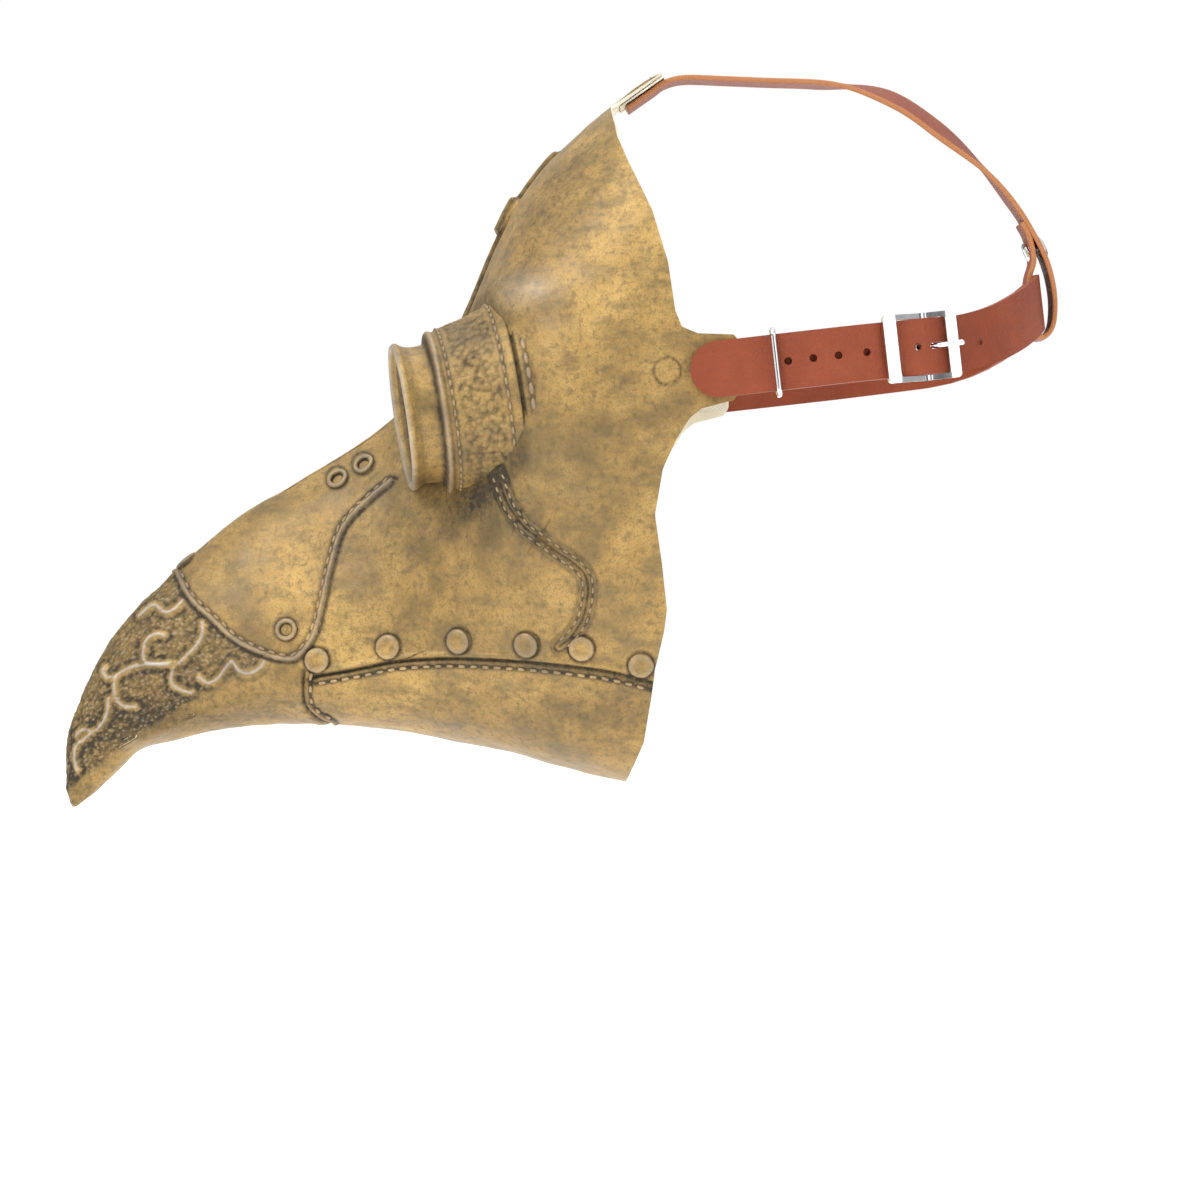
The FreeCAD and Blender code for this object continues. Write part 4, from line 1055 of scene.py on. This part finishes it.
def add_stitches(build, skin, line, offset, length, width, pitch, height):
    """Row of moulded stitches beside a line, on both sides of the mask."""
    path = curve_through(line, 0.3)
    ahead = np.gradient(path, axis=0)
    ahead /= np.linalg.norm(ahead, axis=1)[:, None]
    path = path + np.stack([-ahead[:, 1], ahead[:, 0]], axis=1) * offset
    run = run_along(path)
    for at in np.arange(pitch / 2, run[-1], pitch):
        y, z = np.interp(at, run, path[:, 0]), np.interp(at, run, path[:, 1])
        if y > rear_limit(z) - REAR_MARGIN:
            continue
        onward = at + STITCH_LOOK
        point, out = skin.at(y, z)
        ahead_point, _ = skin.at(np.interp(onward, run, path[:, 0]),
                                 np.interp(onward, run, path[:, 1]))
        along = ahead_point - point
        along -= out * (along @ out)
        if np.linalg.norm(along) < 1e-6:
            continue
        along /= np.linalg.norm(along)
        verts, faces = stitch_mesh(point + out * 0.1, along, out, length, width, height)
        tone = np.where(((verts - point) @ out) < 0.2, 0.9, 0.05)
        build.add(verts, faces, GOLD, tone, 0.15)
        build.add(mirrored(verts), faces[:, ::-1], GOLD, tone, 0.15)


# Rings of stitches on a collar: depth below the rim, radius, number, and each stitch's
# length, width and height.
COLLAR_STITCHES = [(16.8, 29.0, 50, (2.5, 1.0, 0.6)), (35.4, 34.7, 50, (2.9, 1.1, 0.7)),
                   (43.4, 37.0, 42, (4.4, 1.8, 0.8))]


def add_collar_stitches(build, skin):
    """Rings of moulded stitches on the collars: behind the front edge and before the base."""
    for side in (1, -1):
        across, up, axis, rim = barrel_frame(side)
        for depth, radius, count, size in COLLAR_STITCHES:
            for k in range(count):
                turn = 2 * math.pi * (k + 0.5) / count
                out = across * math.cos(turn) + up * math.sin(turn)
                along = -across * math.sin(turn) + up * math.cos(turn)
                middle = rim - axis * depth + out * radius
                if skin.buried(middle[None], np.array([True]))[0]:
                    continue
                verts, faces = stitch_mesh(middle, along, out, *size)
                if side < 0:
                    faces = faces[:, ::-1]
                build.add(verts, faces, GOLD, 0.1, 0.2)


def make_shell(gold, latex):
    """The whole visible casting."""
    build = Builder()
    grid, normals = add_casting(build)
    skin = Skin(grid, normals)
    for side in (1, -1):
        add_barrel(build, side, skin)
    add_bosses(build, skin)
    for row in STITCH_ROWS:
        add_stitches(build, skin, *row)
    add_collar_stitches(build, skin)
    shell = build.build("latex_casting", [gold, latex])
    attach(shell, "mask")
    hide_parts("mask_shell")
    return shell


# ------------------------------------------------------------------ harness

# Middle line of the crown strap in the mirror plane (y, z), from under the forehead tab
# over the crown, round the rear strap and back up inside it.
CROWN_LINE = [(-73.0, 93.6), (-68.9, 96.5), (-64.0, 99.9), (-59.9, 102.8), (-52.5, 104.6),
              (-38.0, 104.2), (-23.4, 103.6), (-6.0, 103.0), (10.8, 101.3), (25.2, 96.2),
              (40.3, 85.6), (55.2, 72.4), (66.6, 58.4), (73.0, 48.0), (77.0, 40.0),
              (79.4, 32.0), (80.4, 24.0), (79.9, 16.5), (78.0, 12.6), (75.0, 11.2),
              (72.0, 12.6), (70.6, 17.0), (70.2, 25.0), (70.9, 33.0), (72.4, 39.2),
              (70.9, 46.9), (68.2, 52.4)]
STRAP_WIDTH, STRAP_THICKNESS = 19.4, 1.8
STRAP_ROUNDING, STRAP_CROWN = 0.35, 0.25
CROWN_ROLL = math.radians(19)


def make_crown_strap(leather):
    """Crown strap, which rolls a little to the left where it comes over the crown."""
    line = curve_through(CROWN_LINE, 0.9)
    ahead = np.gradient(line, axis=0)
    ahead /= np.linalg.norm(ahead, axis=1)[:, None]
    out = np.column_stack([np.zeros(len(line)), -ahead[:, 1], ahead[:, 0]])
    behind_crown = (line[:, 0] > -5) & (np.arange(len(line)) < np.argmax(line[:, 0]))
    roll = CROWN_ROLL * np.where(behind_crown, smooth(-5, 24, line[:, 0])
                                 * smooth(66, 38, line[:, 0]), 0)
    half_w, half_t, soft = STRAP_WIDTH / 2, STRAP_THICKNESS / 2, STRAP_ROUNDING
    across = np.linspace(-half_w + soft, half_w - soft, 15)
    section = [(a, half_t) for a in across] + [(half_w, half_t - soft), (half_w, soft - half_t)]
    section += [(a, -half_t) for a in across[::-1]]
    section += [(-half_w, soft - half_t), (-half_w, half_t - soft)]
    edge_tone = [0.0 if abs(a) < half_w - 0.5 else 1.0 for a, _ in section]
    rows = []
    for spot, up, turn in zip(line, out, roll):
        side = np.array([math.cos(turn), 0, 0]) - up * math.sin(turn)
        lift = up * math.cos(turn) + np.array([math.sin(turn), 0, 0])
        middle = np.array([0.0, spot[0], spot[1]])
        rows.append([middle + side * a + lift * (h - STRAP_CROWN * (a / half_w) ** 2)
                     for a, h in section])
    grid = np.array(rows)
    build = Builder()
    count = len(section)
    build.add(grid.reshape(-1, 3), grid_faces(len(rows), count, closed=True)[:, ::-1], 0, 0.0,
              np.tile(edge_tone, len(rows)))
    facing = count - 3
    quads = np.array([(k, k + 1, facing - k - 1, facing - k) for k in range(len(across) - 1)])
    for ring, flip in ((grid[0], False), (grid[-1], True)):
        build.add(ring, quads[:, ::-1] if flip else quads, 0, 0.0, 1.0)
    strap = build.build("crown_leather", [leather])
    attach(strap, "crown")
    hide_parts("crown_strap")


EDGE_BEVEL = 0.35


def finish_node(name, material, bevel=0.0, edging=None):
    """Gives a CAD part its material and soft edges."""
    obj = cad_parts[name]
    obj.data.materials.clear()
    obj.data.materials.append(material)
    if bevel:
        modifier = obj.modifiers.new("edges", "BEVEL")
        modifier.width = bevel * MM
        modifier.segments = 3
        modifier.limit_method = "ANGLE"
        modifier.angle_limit = math.radians(40)
        if edging:
            obj.data.materials.append(edging)
            modifier.material = 1


# ------------------------------------------------------------------ studio, in metres

FLOOR_HALF, FLOOR_LEVEL = 8.0, -0.275
# Brightness of the room from below to above, by height.
ROOM_BANDS = [(0.0, 0.50), (0.42, 0.30), (0.52, 0.16), (0.62, 0.75), (1.0, 0.95)]
# Lamps: name, place, size and power.
LAMPS = [("key", (1.0, -1.0, 1.2), 0.9, 24), ("fill", (1.2, 1.0, 0.3), 1.2, 6),
         ("top", (-0.3, 0.1, 1.5), 1.2, 14)]
LAMP_AIM = Vector((0, -0.08, -0.04))
CAMERA_DISTANCE, VIEW_WIDTH, SENSOR = 1.8, 0.432, 36.0
VIEW_MIDDLE = Vector((0, -0.0828, -0.0828))


def make_floor():
    """White floor."""
    mesh = bpy.data.meshes.new("studio_floor")
    half = FLOOR_HALF
    mesh.from_pydata([(x, y, FLOOR_LEVEL) for x, y in ((-half, -half), (half, -half),
                                                       (half, half), (-half, half))],
                     [], [(0, 1, 2, 3)])
    mesh.materials.append(paper_material())
    add_object("studio_floor", mesh)


def make_world():
    """White to the camera, and a room of grey bands to the object."""
    world = bpy.data.worlds.new("studio_world")
    world.use_nodes = True
    tree = world.node_tree
    node = functools.partial(add_node, tree)
    place = node("ShaderNodeTexCoord").outputs["Generated"]
    parts = node("ShaderNodeSeparateXYZ", {0: place})
    level = node("ShaderNodeMapRange", {"Value": parts.outputs["Z"], "From Min": -1.0})
    tones = ramp(node, level.outputs[0], [(at, (tone, tone, tone)) for at, tone in ROOM_BANDS])
    room = tree.nodes["Background"]
    feed(room.inputs[0], tones)
    paper = node("ShaderNodeBackground", {0: (1, 1, 1, 1)})
    seen = node("ShaderNodeLightPath").outputs["Is Camera Ray"]
    mix = node("ShaderNodeMixShader", {0: seen, 1: room.outputs[0], 2: paper.outputs[0]})
    feed(tree.nodes["World Output"].inputs[0], mix.outputs[0])
    bpy.context.scene.world = world


def studio():
    """Floor, world, lights and camera."""
    make_floor()
    make_world()
    bpy.context.scene.view_settings.view_transform = "Standard"
    for name, place, size, power in LAMPS:
        data = bpy.data.lights.new(name, "AREA")
        data.energy, data.size = power, size
        lamp = add_object(name, data)
        lamp.location = place
        lamp.rotation_euler = (LAMP_AIM - Vector(place)).to_track_quat("-Z", "Y").to_euler()
    data = bpy.data.cameras.new("camera")
    data.sensor_width = SENSOR
    data.lens = SENSOR * CAMERA_DISTANCE / VIEW_WIDTH
    camera = add_object("camera", data)
    camera.location = VIEW_MIDDLE + Vector((CAMERA_DISTANCE, 0, 0))
    camera.rotation_euler = Vector((-1, 0, 0)).to_track_quat("-Z", "Y").to_euler()
    bpy.context.scene.camera = camera


gold, latex = gold_material(), latex_material()
make_shell(gold, latex)
leather, raw_edge = leather_material("strap_leather", 0.0), leather_material("cut_edge", 0.8)
chrome, thread = chrome_material(), thread_material()
gauze, lens, glue = gauze_material(), lens_material(), glue_material()
make_crown_strap(leather)
for strap in ("buckle_strap", "rear_strap"):
    finish_node(strap, leather, EDGE_BEVEL, edging=raw_edge)
finish_node("buckle_frame", chrome, EDGE_BEVEL)
for part in ("buckle_bar", "buckle_prong", "keeper_loop", "loop_rivet_cap",
             "loop_rivet_post"):
    finish_node(part, chrome)
for part in ("temple_stitches_left", "temple_stitches_right", "fold_stitches",
             "forehead_stitches"):
    finish_node(part, thread)
for part in ("temple_gauze_left", "temple_gauze_right", "forehead_gauze"):
    finish_node(part, gauze)
for side in ("left", "right"):
    finish_node("lens_" + side, lens)
    finish_node("lens_glue_" + side, glue)
studio()
